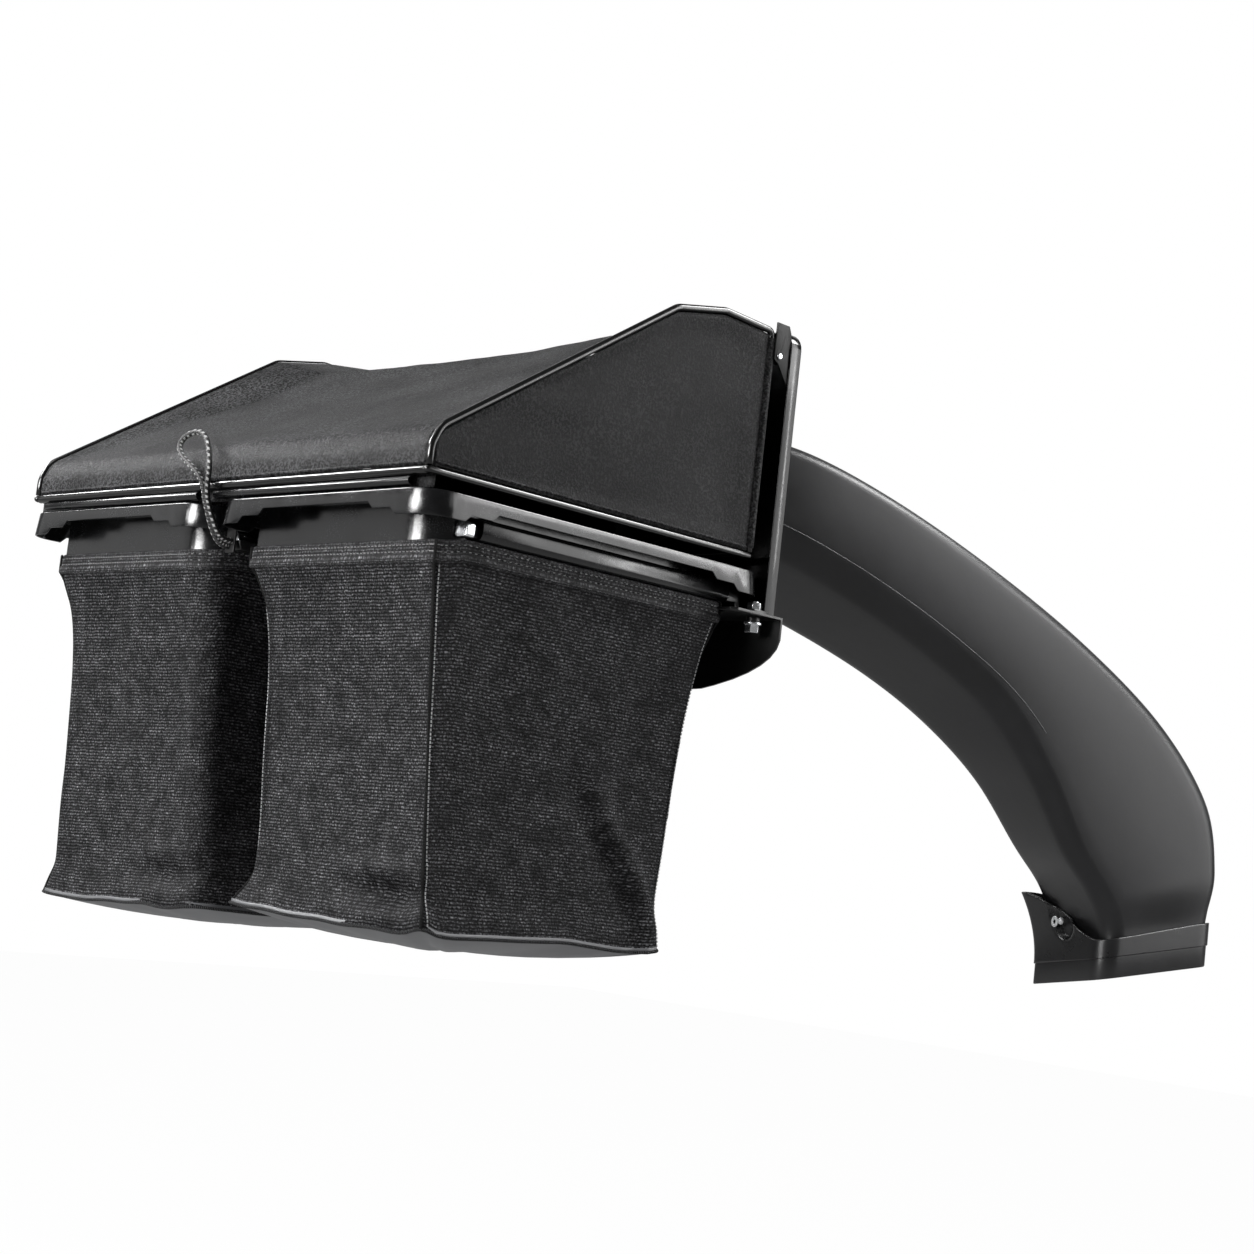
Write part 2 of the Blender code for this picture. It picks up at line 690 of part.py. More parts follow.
def make_arm(name, sign, inner, steel):
    """Make a support arm with its turned-down end and its foot."""
    centre = arm_centre_x(inner)
    bolt_x = inner_bolt_x() if inner else BOLT_X
    rear = RIM_REAR_Y + ARM_REAR_OFFSET
    drop_rear = BOLT_Y - FOOT_DEPTH / 2
    drop_front = drop_rear + ARM_WIDTH
    foot_front = -PANEL_DEPTH - 2 * GAP
    top = arm_top_z()
    foot_low = HITCH_TOP_Z + GAP
    bar = [(rear, top), (drop_front, top), (drop_front, foot_low),
           (drop_rear, foot_low), (drop_rear, top - ARM_HEIGHT), (rear, top - ARM_HEIGHT)]
    arm = prism(name, bar, sign * (centre - ARM_WIDTH / 2), sign * (centre + ARM_WIDTH / 2),
                along_x, steel)
    near = centre - ARM_WIDTH / 2 if bolt_x > centre else centre + ARM_WIDTH / 2
    far = bolt_x + FOOT_MARGIN if bolt_x > centre else bolt_x - FOOT_MARGIN_INNER
    foot_outline = [(sign * near, drop_rear), (sign * far, drop_rear),
                    (sign * far, foot_front), (sign * near, foot_front)]
    foot = prism("guide_foot", foot_outline, foot_low, foot_low + FOOT_T, along_z, steel)
    add_boolean(arm, foot, "UNION")
    hole = prism("guide_foot_hole", circle(sign * bolt_x, BOLT_Y, BOLT_D + 4 * GAP),
                 foot_low - SHEET, foot_low + FOOT_T + SHEET, along_z, steel)
    add_boolean(arm, hole, "DIFFERENCE")
    return arm


def make_arm_cap(name, sign, inner, material):
    """Make the stop on the rear end of an arm."""
    offset = NECK_HALF_X + CAP_NECK_GAP + CAP_WIDTH / 2
    centre_x = sign * (RIM_CENTRE_X - offset if inner else RIM_CENTRE_X + offset)
    centre_z = arm_top_z() - ARM_HEIGHT / 2
    outline = [(centre_x + a, centre_z + b)
               for a, b in rounded_box(CAP_WIDTH / 2, CAP_HEIGHT / 2, CAP_CORNER_R, 3)]
    front = RIM_REAR_Y + ARM_REAR_OFFSET - GAP
    return prism(name, outline, front - CAP_LENGTH, front, along_y, material)


def runner_outline(wall_side):
    """C-shaped section of a runner, open towards the neck.

    wall_side is +1 where the neck lies on the smaller X side.
    """
    half = RUNNER_HEIGHT / 2
    reach = RUNNER_WIDTH - half
    points = [(GAP, half)]
    for i in range(9):
        angle = math.pi / 2 - math.pi * i / 8
        points.append((reach + half * math.cos(angle), half * math.sin(angle)))
    points.append((GAP, -half))
    inner = half - RUNNER_WALL
    points.append((GAP, -inner))
    for i in range(9):
        angle = -math.pi / 2 + math.pi * i / 8
        points.append((reach + inner * math.cos(angle), inner * math.sin(angle)))
    points.append((GAP, inner))
    return [(wall_side * a, b) for a, b in points]


def make_runner(name, sign, inner, material):
    """Make the half-round runner that hangs the bag on its arm."""
    wall_side = sign * (-1 if inner else 1)
    neck_face = sign * RIM_CENTRE_X + wall_side * NECK_HALF_X
    middle = RIM_TOP_Z - RUNNER_TOP_DROP - RUNNER_HEIGHT / 2
    outline = [(neck_face + a, middle + b) for a, b in runner_outline(wall_side)]
    rear = RIM_REAR_Y + RUNNER_REAR_OFFSET
    return prism(name, outline, rear, rear + RUNNER_LENGTH, along_y, material)


def make_bolt(name, x, zinc):
    """Make a hex flange bolt with its head below the hitch plate."""
    seat = HITCH_TOP_Z - SHEET - SPACER_T - 2 * GAP
    top = HITCH_TOP_Z + FOOT_T + NUT_T + 2 * GAP + THREAD_OUT
    shank = circle(x, BOLT_Y, BOLT_D, 24)
    flange = circle(x, BOLT_Y, BOLT_FLANGE_D, 24)
    hexagon = hex_ring(x, BOLT_Y, BOLT_HEX)

    def level(points, z):
        return [(a, b, z) for a, b in points]

    rings = [level(hexagon, seat - BOLT_FLANGE_T - BOLT_HEAD),
             level(hexagon, seat - BOLT_FLANGE_T), level(flange, seat - BOLT_FLANGE_T),
             level(flange, seat), level(shank, seat), level(shank, top)]
    return capped_rings(name, rings, zinc)


def hex_ring(x, y, across, count=24):
    """Hexagon drawn with as many points as a round ring."""
    points = []
    for i in range(count):
        angle = math.tau * i / count
        to_flat = (angle % (math.pi / 3)) - math.pi / 6
        reach = across / 2 / math.cos(to_flat)
        points.append((x + reach * math.cos(angle), y + reach * math.sin(angle)))
    return points


def make_washer(name, x, y, low, high, outer, inner, material, count=24):
    """Make a flat ring about a vertical axis."""
    rings = []
    for diameter, z in ((outer, low), (outer, high), (inner, high), (inner, low)):
        rings.append([(a, b, z) for a, b in circle(x, y, diameter, count)])
    return loop_of_rings(name, rings, material)


def make_nut(name, x, zinc):
    """Make a hexagon nut on the foot of an arm."""
    low = HITCH_TOP_Z + FOOT_T + 2 * GAP
    high = low + NUT_T
    outer = hex_ring(x, BOLT_Y, BOLT_HEX)
    hole = circle(x, BOLT_Y, BOLT_D + 2 * GAP, 24)
    rings = [[(a, b, low) for a, b in outer], [(a, b, high) for a, b in outer],
             [(a, b, high) for a, b in hole], [(a, b, low) for a, b in hole]]
    return loop_of_rings(name, rings, zinc)


# Back panel

def panel_outline(inset, low_z):
    """Outline of the panel: square feet and round upper corners."""
    half = PANEL_HALF_WIDTH - inset
    top = PANEL_TOP_Z - inset
    radius = PANEL_CORNER_R - inset
    right = [(half, low_z)]
    for i in range(7):
        angle = math.pi / 2 * i / 6
        right.append((half - radius + radius * math.cos(angle),
                      top - radius + radius * math.sin(angle)))
    left = [(-x, z) for x, z in reversed(right)]
    return right + left


def make_panel(material):
    """Make the tray-shaped panel with the opening for the chute."""
    low = HITCH_TOP_Z + PANEL_LIFT
    panel = prism("back_panel", panel_outline(0.0, low), -PANEL_DEPTH, 0.0, along_y, material)
    pocket = prism("guide_panel_pocket", panel_outline(PANEL_SHEET, low - PANEL_DEPTH),
                   -2 * PANEL_DEPTH, -PANEL_SHEET, along_y, material)
    add_boolean(panel, pocket, "DIFFERENCE")
    duct = chute_solid("guide_chute_hole", GAP, material)
    add_boolean(panel, duct, "DIFFERENCE")
    return panel


# Chute, boot and adapter

def chute_point(u, side, z):
    """Turn the chute's own (forward, left offset, height) into a point."""
    ahead = Vector((math.sin(CHUTE_HEADING), math.cos(CHUTE_HEADING)))
    right = Vector((math.cos(CHUTE_HEADING), -math.sin(CHUTE_HEADING)))
    place = Vector((CHUTE_START_X, CHUTE_START_Y)) + ahead * u - right * side
    return (place.x, place.y, z)


def chute_section(share, grow):
    """One section of the duct; grow moves its surface outwards."""
    low_right = spline(CHUTE_LOW_EDGE, share)
    top_right = spline(CHUTE_TOP_EDGE, share)
    drop = spline(CHUTE_LEFT_DROP, share)
    entry = max(0.0, 1 - share / CHUTE_ENTRY_SHARE) ** 2
    drop = drop - Vector((CHUTE_WIDTH * math.tan(CHUTE_HEADING) * entry, 0.0))
    low_left = low_right + drop
    top_left = top_right + Vector((drop.x, drop.y * CHUTE_LEFT_TOP_SHARE))
    height = (top_right - low_right).length
    half_w = CHUTE_WIDTH / 2
    outline = rounded_box(half_w + grow, height / 2 + grow, CHUTE_CORNER_R + grow, 4)
    points = []
    for a, b in outline:
        across = (a + half_w) / CHUTE_WIDTH
        up = (b + height / 2) / height
        low = low_right.lerp(low_left, across)
        top = top_right.lerp(top_left, across)
        place = low + (top - low) * up
        points.append(chute_point(place.x, across * CHUTE_WIDTH, place.y))
    return points


def chute_shares():
    """Even stations along the duct."""
    return [i / (CHUTE_STATIONS - 1) for i in range(CHUTE_STATIONS)]


def chute_solid(name, grow, material):
    """Make the duct's outer form as one solid."""
    rings = [chute_section(share, grow) for share in chute_shares()]
    return capped_rings(name, rings, material)


def make_chute(material):
    """Make the duct wall, open at both ends."""
    outer = [chute_section(share, 0.0) for share in chute_shares()]
    inner = [chute_section(share, -CHUTE_WALL) for share in reversed(chute_shares())]
    return loop_of_rings("discharge_chute", outer + inner, material, 50.0)


def mouth_height(u, side):
    """Height of the adapter's lower rim, whose plane is tilted."""
    return MOUTH_Z + MOUTH_RISE_FORWARD * (u - BOOT_REAR) - MOUTH_RISE_RIGHT * side


def boot_outline(grow):
    """Outline of the boot as (u, side) pairs, from its right side on."""
    middle_u = BOOT_REAR + BOOT_LENGTH / 2
    middle_side = BOOT_WIDTH / 2 - BOOT_WALL - BOOT_CLEAR
    outline = rounded_box(BOOT_WIDTH / 2 + grow, BOOT_LENGTH / 2 + grow, BOOT_CORNER_R + grow, 5)
    filled = add_side_points(outline, 3)
    return [(middle_u - b, middle_side + a) for a, b in filled]


def boot_ring(grow, rise, flare):
    """Ring of the boot; rise(u, side) lifts it above the mouth's plane."""
    points = []
    for u, side in boot_outline(grow):
        ear = max(0.0, (side / BOOT_WIDTH)) ** 3 * max(0.0, 1 - (u - BOOT_REAR) / BOOT_LENGTH) ** 2
        z = mouth_height(u, side) + rise(u, side)
        points.append(chute_point(u - flare * ear, side + flare * ear, z))
    return points


def boot_top_rise(u, side):
    """Height of the boot's wavy upper edge above the mouth's plane."""
    ahead = min(max((u - BOOT_REAR) / BOOT_LENGTH, 0.0), 1.0)
    left = min(max(side / BOOT_WIDTH, 0.0), 1.0)
    smooth_left = left * left * (3 - 2 * left)
    rear = BOOT_VALLEY + (BOOT_EAR - BOOT_VALLEY) * smooth_left
    return ADAPTER_HEIGHT + rear + (BOOT_FRONT - rear) * ahead * ahead * (3 - 2 * ahead)


def make_boot(material):
    """Make the boot that is sleeved over the end of the chute."""
    def seam(u, side):
        return ADAPTER_HEIGHT + GAP

    def middle(u, side):
        return seam(u, side) + BOOT_MIDDLE_SHARE * (boot_top_rise(u, side) - seam(u, side))

    rings = [boot_ring(0.0, seam, 0.0), boot_ring(0.0, middle, BOOT_MIDDLE_FLARE),
             boot_ring(0.0, boot_top_rise, BOOT_FLARE),
             boot_ring(-BOOT_WALL, boot_top_rise, BOOT_FLARE),
             boot_ring(-BOOT_WALL, middle, BOOT_MIDDLE_FLARE),
             boot_ring(-BOOT_WALL, seam, 0.0)]
    boot = loop_of_rings("chute_boot", rings, material, 40.0)
    pad = boot_axis_disc(BOOT_REAR - BOOT_PAD_OUT, BOOT_REAR + BOOT_WALL / 2, BOOT_PAD_D,
                         "guide_boot_pad", material)
    add_boolean(boot, pad, "UNION")
    return boot


def make_adapter(material):
    """Make the deck adapter's ring below the boot."""
    def bottom(u, side):
        return 0.0

    def top(u, side):
        return ADAPTER_HEIGHT

    rings = [boot_ring(-ADAPTER_LEDGE, bottom, 0.0), boot_ring(-ADAPTER_LEDGE, top, 0.0),
             boot_ring(-ADAPTER_LEDGE - BOOT_WALL, top, 0.0),
             boot_ring(-ADAPTER_LEDGE - BOOT_WALL, bottom, 0.0)]
    return loop_of_rings("deck_adapter", rings, material, 40.0)


def boot_axis_disc(start, end, outer, name, zinc, bore=0.0):
    """Make a turned piece whose axis runs straight out of the boot's rear."""
    z = mouth_height(BOOT_REAR, BOOT_SCREW_SIDE) + BOOT_SCREW_RISE

    def ring(u, diameter):
        return [chute_point(u, a, b) for a, b in circle(BOOT_SCREW_SIDE, z, diameter, 20)]

    if bore:
        rings = [ring(start, outer), ring(end, outer), ring(end, bore), ring(start, bore)]
        return loop_of_rings(name, rings, zinc)
    return capped_rings(name, [ring(start, outer), ring(end, outer)], zinc)


# Hood

def hood_profile():
    """Side view of the hood's rod, from its rear foot to its front foot."""
    base = HOOD_BASE_Z
    rear = HOOD_REAR_Y + ROD_D / 2
    front = HOOD_FRONT_Y - ROD_D / 2
    return [
        (rear, base + (RAIL_D + ROD_D) / 4 + GAP), (rear, base + HOOD_REAR_WALL),
        (rear + HOOD_REAR_LEAN, base + HOOD_SHOULDER_RISE),
        (HOOD_REAR_Y + HOOD_RIDGE_Y, base + HOOD_RIDGE_RISE),
        (HOOD_REAR_Y + HOOD_CROWN_Y, base + HOOD_CROWN_RISE),
        (front, base + HOOD_FRONT_RISE), (front, base + ROD_D / 2 + GAP),
    ]


def hood_rod_path(x):
    """Bent path of a side hoop at one X."""
    points = [(x, y, z) for y, z in hood_profile()]
    soft = rounded_path(points[:-1], HOOD_BEND_R)
    soft = soft[:-1]
    corner = rounded_path([tuple(soft[-1]), points[-2], points[-1]], ROD_D)
    return soft[:-1] + corner


def sag_depth(x, y):
    """How far the top cloth hangs below the hoops."""
    reach = ROD_X - ROD_D / 2
    across = max(0.0, 1 - (abs(x) / reach) ** HOOD_SAG_SIDE_POWER)
    length = min(max((y - HOOD_REAR_Y) / HOOD_LENGTH, 0.0), 1.0)
    along = math.sin(math.pi * length ** HOOD_SAG_LENGTH_POWER)
    return HOOD_SAG * across * max(0.0, along)


def cloth_line():
    """Even points of the hood's profile that the top cloth follows."""
    points = [(0.0, y, z) for y, z in hood_profile()[:-1]]
    path = rounded_path(points, HOOD_BEND_R, 4)
    lengths = [0.0]
    for first, second in zip(path, path[1:]):
        lengths.append(lengths[-1] + (second - first).length)
    line = []
    for i in range(CLOTH_ROWS):
        target = lengths[-1] * i / (CLOTH_ROWS - 1)
        span = max(k for k, value in enumerate(lengths[:-1]) if value <= target)
        share = (target - lengths[span]) / (lengths[span + 1] - lengths[span])
        line.append(path[span].lerp(path[span + 1], share))
    return line


def make_top_cloth(material):
    """Make the top cloth: rear wall, slope and crown of one sheet."""
    reach = ROD_X - ROD_D / 2 - GAP
    line = cloth_line()
    floor = HOOD_BASE_Z + RAIL_D / 2 + GAP
    ceiling_y = HOOD_FRONT_Y - ROD_D - GAP
    bm = bmesh.new()
    layers = []
    for shift in (0.5, -0.5):
        grid = []
        for k, place in enumerate(line):
            before = line[max(k - 1, 0)]
            after = line[min(k + 1, len(line) - 1)]
            run = (after - before).normalized()
            normal = Vector((0.0, -run.z, run.y))
            row = []
            for c in range(CLOTH_COLUMNS + 1):
                x = -reach + 2 * reach * c / CLOTH_COLUMNS
                drop = sag_depth(x, place.y)
                point = place + normal * (CLOTH * shift - drop)
                height = max(point.z, floor)
                row.append(bm.verts.new((x, min(point.y, ceiling_y), height)))
            grid.append(row)
        layers.append(grid)
    for grid in layers:
        for first, second in zip(grid, grid[1:]):
            for c in range(CLOTH_COLUMNS):
                bm.faces.new((first[c], first[c + 1], second[c + 1], second[c]))
    upper, lower = layers
    border_up = border_of(upper)
    border_low = border_of(lower)
    bridge(bm, border_up, border_low)
    return mesh_object("hood_top_cloth", bm, material, 60.0)


def border_of(grid):
    """Vertices around the edge of a grid, in order."""
    ring = list(grid[0])
    ring += [row[-1] for row in grid[1:]]
    ring += list(reversed(grid[-1][:-1]))
    ring += [row[0] for row in reversed(grid[1:-1])]
    return ring


def make_side_cloth(name, sign, material):
    """Make a side cloth that fills one hoop."""
    rod_path = [(p.y, p.z) for p in hood_rod_path(0.0)]
    inset = ROD_D / 2 + GAP * 2
    middle = Vector((HOOD_REAR_Y + HOOD_LENGTH * 0.6, HOOD_BASE_Z + HOOD_RIDGE_RISE * 0.4))
    outline = []
    for k, place in enumerate(rod_path):
        before = Vector(rod_path[max(k - 1, 0)])
        after = Vector(rod_path[min(k + 1, len(rod_path) - 1)])
        run = (after - before).normalized()
        normal = Vector((run.y, -run.x))
        if normal.dot(middle - Vector(place)) < 0:
            normal = -normal
        moved = Vector(place) + normal * inset
        low = HOOD_BASE_Z + ROD_D / 2 + GAP * 2
        outline.append((moved.x, max(moved.y, low)))
    x = sign * ROD_X
    return prism(name, outline, x - CLOTH / 2, x + CLOTH / 2, along_x, material)


def make_side_rail(name, sign, steel):
    """Make the rod along one side of the hood's base."""
    x = sign * ROD_X
    rear = HOOD_REAR_Y + ROD_D / 2 - (RAIL_D - ROD_D) / 2
    front = HOOD_FRONT_Y - ROD_D / 2
    return rod(name, [(x, rear, HOOD_BASE_Z), (x, front, HOOD_BASE_Z)], ROD_D, steel)


def half_round(centre_y, centre_z, height, depth, wall):
    """Half-round channel section, open to the front, in the Y-Z plane."""
    points = []
    for i in range(9):
        angle = math.pi / 2 + math.pi * i / 8
        points.append((centre_y + depth * math.cos(angle), centre_z + height / 2 * math.sin(angle)))
    for i in range(9):
        angle = math.pi * 1.5 - math.pi * i / 8
        points.append((centre_y + (depth - wall) * math.cos(angle),
                       centre_z + (height / 2 - wall) * math.sin(angle)))
    return points


def make_rear_clip(name, start_x, end_x, material):
    """Make a snap-on strip below the rear rail."""
    outline = half_round(HOOD_REAR_Y + RAIL_D / 2, HOOD_BASE_Z - CLIP_DROP, CLIP_HEIGHT,
                         CLIP_DEPTH, CLIP_WALL)
    return prism(name, outline, start_x, end_x, along_x, material)


def make_ear(name, sign, steel):
    """Make the hinge ear that is welded to the front of a hoop."""
    rear = HOOD_FRONT_Y + GAP
    top = HINGE_Z + EAR_R
    low = HINGE_Z - EAR_R
    outline = [(rear, low), (rear, top)]
    for i in range(9):
        angle = math.pi / 2 - math.pi * i / 8
        outline.append((HINGE_Y + EAR_NOSE_R * math.cos(angle), HINGE_Z + EAR_R * math.sin(angle)))
    outer = sign * (HOOD_HALF_WIDTH - EAR_SET_IN)
    inner = sign * (HOOD_HALF_WIDTH - EAR_SET_IN - EAR_T)
    ear = prism(name, outline, inner, outer, along_x, steel)
    hole = prism("guide_ear_hole", circle(HINGE_Y, HINGE_Z, PIN_D + 2 * GAP),
                 inner - sign * EAR_T, outer + sign * EAR_T, along_x, steel)
    add_boolean(ear, hole, "DIFFERENCE")
    return ear


def gusset_inner_x():
    """Inner face of the hinge gusset."""
    return PANEL_HALF_WIDTH - PANEL_SHEET - GAP - GUSSET_T


def make_gusset(name, sign, steel):
    """Make the fixed hinge gusset inside the panel's side flange."""
    nose = HINGE_Y - GUSSET_NOSE
    front = -PANEL_SHEET - GAP
    corner_z = PANEL_TOP_Z - PANEL_CORNER_R - 4 * GAP
    rim_y = -PANEL_DEPTH - 2 * GAP
    outline = [(nose, GUSSET_TOP_Z), (rim_y - GUSSET_CUT, GUSSET_TOP_Z),
               (rim_y, GUSSET_TOP_Z - 2 * GUSSET_CUT), (rim_y, corner_z), (front, corner_z),
               (front, GUSSET_FOOT_Z), (-PANEL_DEPTH, GUSSET_FOOT_Z),
               (HINGE_Y, HINGE_Z - PIN_D * 1.8), (nose, HINGE_Z - PIN_D)]
    inner = sign * gusset_inner_x()
    outer = sign * (gusset_inner_x() + GUSSET_T)
    gusset = prism(name, outline, inner, outer, along_x, steel)
    hole = prism("guide_gusset_hole", circle(HINGE_Y, HINGE_Z, PIN_D + 2 * GAP),
                 inner - sign * EAR_T, outer + sign * EAR_T, along_x, steel)
    add_boolean(gusset, hole, "DIFFERENCE")
    return gusset


def pin_end_x():
    """Inner end of the hinge pin."""
    return HOOD_HALF_WIDTH - EAR_SET_IN - EAR_T - CLIP_RING_T - 3 * GAP - THREAD_OUT


def make_pin(name, sign, zinc):
    """Make a headed hinge pin along X."""
    seat = gusset_inner_x() + GUSSET_T + GAP

    def ring(x, diameter):
        return [(sign * x, a, b) for a, b in circle(HINGE_Y, HINGE_Z, diameter, 20)]

    rings = [ring(seat + PIN_HEAD_T, PIN_HEAD_D * 0.7), ring(seat + PIN_HEAD_T * 0.6, PIN_HEAD_D),
             ring(seat, PIN_HEAD_D), ring(seat, PIN_D), ring(pin_end_x(), PIN_D)]
    return capped_rings(name, rings, zinc)


def make_pin_clip(name, sign, zinc):
    """Make the push-on ring that keeps the pin in its ear."""
    start = HOOD_HALF_WIDTH - EAR_SET_IN - EAR_T - GAP
    end = start - CLIP_RING_T

    def ring(x, diameter):
        return [(sign * x, a, b) for a, b in circle(HINGE_Y, HINGE_Z, diameter, 20)]

    bore = PIN_D + 2 * GAP
    return loop_of_rings(name, [ring(start, CLIP_RING_D), ring(end, CLIP_RING_D),
                                ring(end, bore), ring(start, bore)], zinc)


# Latch and pull cord

def make_latch_arm(steel):
    """Make the bar between the bags that the latch closes against."""
    top = RIM_TOP_Z - LATCH_ARM_DROP
    low = HITCH_TOP_Z + GAP
    rear = RIM_REAR_Y + LATCH_ARM_REAR
    front = -SHEET - GAP
    outline = [(rear, top), (front, top), (front, low), (rear + LATCH_ARM_NOSE, low)]
    half = LATCH_ARM_WIDTH / 2
    return prism("latch_arm", outline, -half, half, along_x, steel)


def make_latch_hook(steel):
    """Make the sprung plate that hangs from the rear rail."""
    rear = HOOD_REAR_Y + LATCH_Y_OFFSET - LATCH_T - GAP
    top = HOOD_BASE_Z + LATCH_TOP_LIFT
    half = LATCH_WIDTH / 2
    rail_front = HOOD_REAR_Y + RAIL_D + GAP
    low = top - LATCH_LENGTH
    outline = [(rail_front, top), (rear + LATCH_T, top), (rear + LATCH_T, low),
               (rear, low), (rear, top - LATCH_T), (rail_front, top - LATCH_T)]
    return prism("latch_hook", outline, -half, half, along_x, steel)


def make_cord(material):
    """Make the doubled pull cord with its loop behind the hood."""
    route = [(x, HOOD_REAR_Y + y, RIM_TOP_Z + z) for x, y, z in CORD_ROUTE]
    path = [spline(route, i / (CORD_SAMPLES - 1)) for i in range(CORD_SAMPLES)]
    return rod("pull_cord", path, CORD_D, material, 2)


def build():
    """Build every piece of the catcher."""
    clear_scene()
    finish = finishes()
    make_hitch_plate(finish["steel"])
    make_panel(finish["gloss"])
    make_latch_arm(finish["steel"])
    for side, sign in sides():
        make_rim(f"bag_rim_{side}", sign * RIM_CENTRE_X, finish["gloss"])
        make_bag(f"bag_{side}", sign * RIM_CENTRE_X, finish["mesh"])
        make_pan(f"bag_floor_{side}", sign * RIM_CENTRE_X, finish["pan"])
        for place, inner in (("outer", False), ("inner", True)):
            make_arm(f"support_arm_{place}_{side}", sign, inner, finish["steel"])
            make_arm_cap(f"arm_cap_{place}_{side}", sign, inner, finish["zinc"])
            make_runner(f"runner_{place}_{side}", sign, inner, finish["gloss"])
            x = sign * (inner_bolt_x() if inner else BOLT_X)
            make_bolt(f"arm_bolt_{place}_{side}", x, finish["zinc"])
            make_nut(f"arm_nut_{place}_{side}", x, finish["zinc"])
            make_washer(f"bolt_spacer_{place}_{side}", x, BOLT_Y,
                        HITCH_TOP_Z - SHEET - GAP - SPACER_T, HITCH_TOP_Z - SHEET - GAP,
                        SPACER_D, BOLT_D + 2 * GAP, finish["steel"])
        make_gusset(f"hinge_gusset_{side}", sign, finish["steel"])
        make_pin(f"hinge_pin_{side}", sign, finish["zinc"])
        make_pin_clip(f"pin_clip_{side}", sign, finish["zinc"])
        make_ear(f"hinge_ear_{side}", sign, finish["steel"])
        rod(f"hood_hoop_{side}", hood_rod_path(sign * ROD_X), ROD_D, finish["steel"])
        make_side_rail(f"hood_side_rail_{side}", sign, finish["steel"])
        make_side_cloth(f"hood_side_cloth_{side}", sign, finish["cloth"])
    make_top_cloth(finish["cloth"])
    rail_reach = ROD_X - ROD_D / 2 - GAP
    rail_y = HOOD_REAR_Y + RAIL_D / 2
    rod("hood_rear_rail", [(-rail_reach, rail_y, HOOD_BASE_Z), (rail_reach, rail_y, HOOD_BASE_Z)],
        RAIL_D, finish["steel"])
    front_y = HOOD_FRONT_Y - ROD_D / 2
    for name, rise in (("hood_front_rail_upper", HOOD_FRONT_RISE - ROD_D),
                       ("hood_front_rail_lower", 0.0)):
        rod(name, [(-rail_reach, front_y, HOOD_BASE_Z + rise),
                   (rail_reach, front_y, HOOD_BASE_Z + rise)], ROD_D, finish["steel"])
    reach = HOOD_HALF_WIDTH - CLIP_END
    make_rear_clip("hood_rear_clip_left", -reach, -CLIP_CENTRE_LEFT, finish["gloss"])
    make_rear_clip("hood_rear_clip_right", CLIP_CENTRE_RIGHT, reach, finish["gloss"])
    make_latch_hook(finish["steel"])
    make_cord(finish["cord"])
    make_chute(finish["duct"])
    make_boot(finish["duct"])
    make_adapter(finish["duct"])
    seat = BOOT_REAR - BOOT_PAD_OUT - GAP
    boot_axis_disc(seat - BOOT_WASHER_T, seat, BOOT_WASHER_D, "boot_washer",
                   finish["zinc"], BOOT_SCREW_D + 2 * GAP)
    seat -= BOOT_WASHER_T + GAP
    boot_axis_disc(seat - BOOT_SCREW_HEAD_T, seat, BOOT_SCREW_HEAD_D, "boot_screw",
                   finish["zinc"])
    for obj in bpy.data.objects:
        if obj.name.startswith(HOOD_PIECES):
            set_origin(obj, (0.0, HINGE_Y, HINGE_Z))


build()
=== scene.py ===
"""Looks of a twin-bag rear grass catcher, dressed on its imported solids.

X runs to the mower's right, Y forward to the mower, Z up. Lengths are metres.
The origin is the middle of the hitch plate's front face.
"""
import logging
import math
from collections.abc import Callable, Sequence
from dataclasses import dataclass
from enum import Enum
from functools import cached_property

import bmesh
import bpy
from mathutils import Matrix, Vector, noise


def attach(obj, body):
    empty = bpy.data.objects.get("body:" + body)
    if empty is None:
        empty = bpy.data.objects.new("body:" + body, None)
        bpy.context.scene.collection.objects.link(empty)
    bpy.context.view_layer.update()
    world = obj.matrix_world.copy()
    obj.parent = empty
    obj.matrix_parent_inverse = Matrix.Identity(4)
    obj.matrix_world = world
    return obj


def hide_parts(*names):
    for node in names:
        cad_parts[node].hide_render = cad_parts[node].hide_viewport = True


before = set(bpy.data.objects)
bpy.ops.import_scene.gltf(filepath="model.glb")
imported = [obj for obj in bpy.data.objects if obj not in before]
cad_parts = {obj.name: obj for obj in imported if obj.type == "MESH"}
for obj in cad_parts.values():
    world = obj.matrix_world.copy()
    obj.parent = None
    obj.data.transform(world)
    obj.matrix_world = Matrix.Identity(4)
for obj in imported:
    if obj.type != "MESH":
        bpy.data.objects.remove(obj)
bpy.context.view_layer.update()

LOG = logging.getLogger("catcher")
Place = Callable[[int, int], Vector]
Mesh = bmesh.types.BMesh
Thing = bpy.types.Object


class Side(Enum):
    """The two sides of the catcher and their sign along X."""

    RIGHT = 1
    LEFT = -1

    @property
    def word(self) -> str:
        """Name of the side, as the nodes' names write it."""
        return self.name.lower()


class EndShape(Enum):
    """How a rod or tube ends."""

    ROUND = "round"
    FLAT = "flat"


# Colours, nodes and finishes

def srgb(code: str) -> tuple[float, float, float, float]:
    """Turn an sRGB hex value into a linear colour.

    Args:
        code: six hex digits.

    Returns:
        Linear red, green, blue and an alpha of 1.
    """
    parts = [int(code[k:k + 2], 16) / 255 for k in (0, 2, 4)]
    linear = [p / 12.92 if p <= 0.04045 else ((p + 0.055) / 1.055) ** 2.4 for p in parts]
    return (linear[0], linear[1], linear[2], 1.0)


def bands(period: float) -> float:
    """Scale of a wave texture whose bands lie one period apart, in metres."""
    return math.tau / (20 * period)


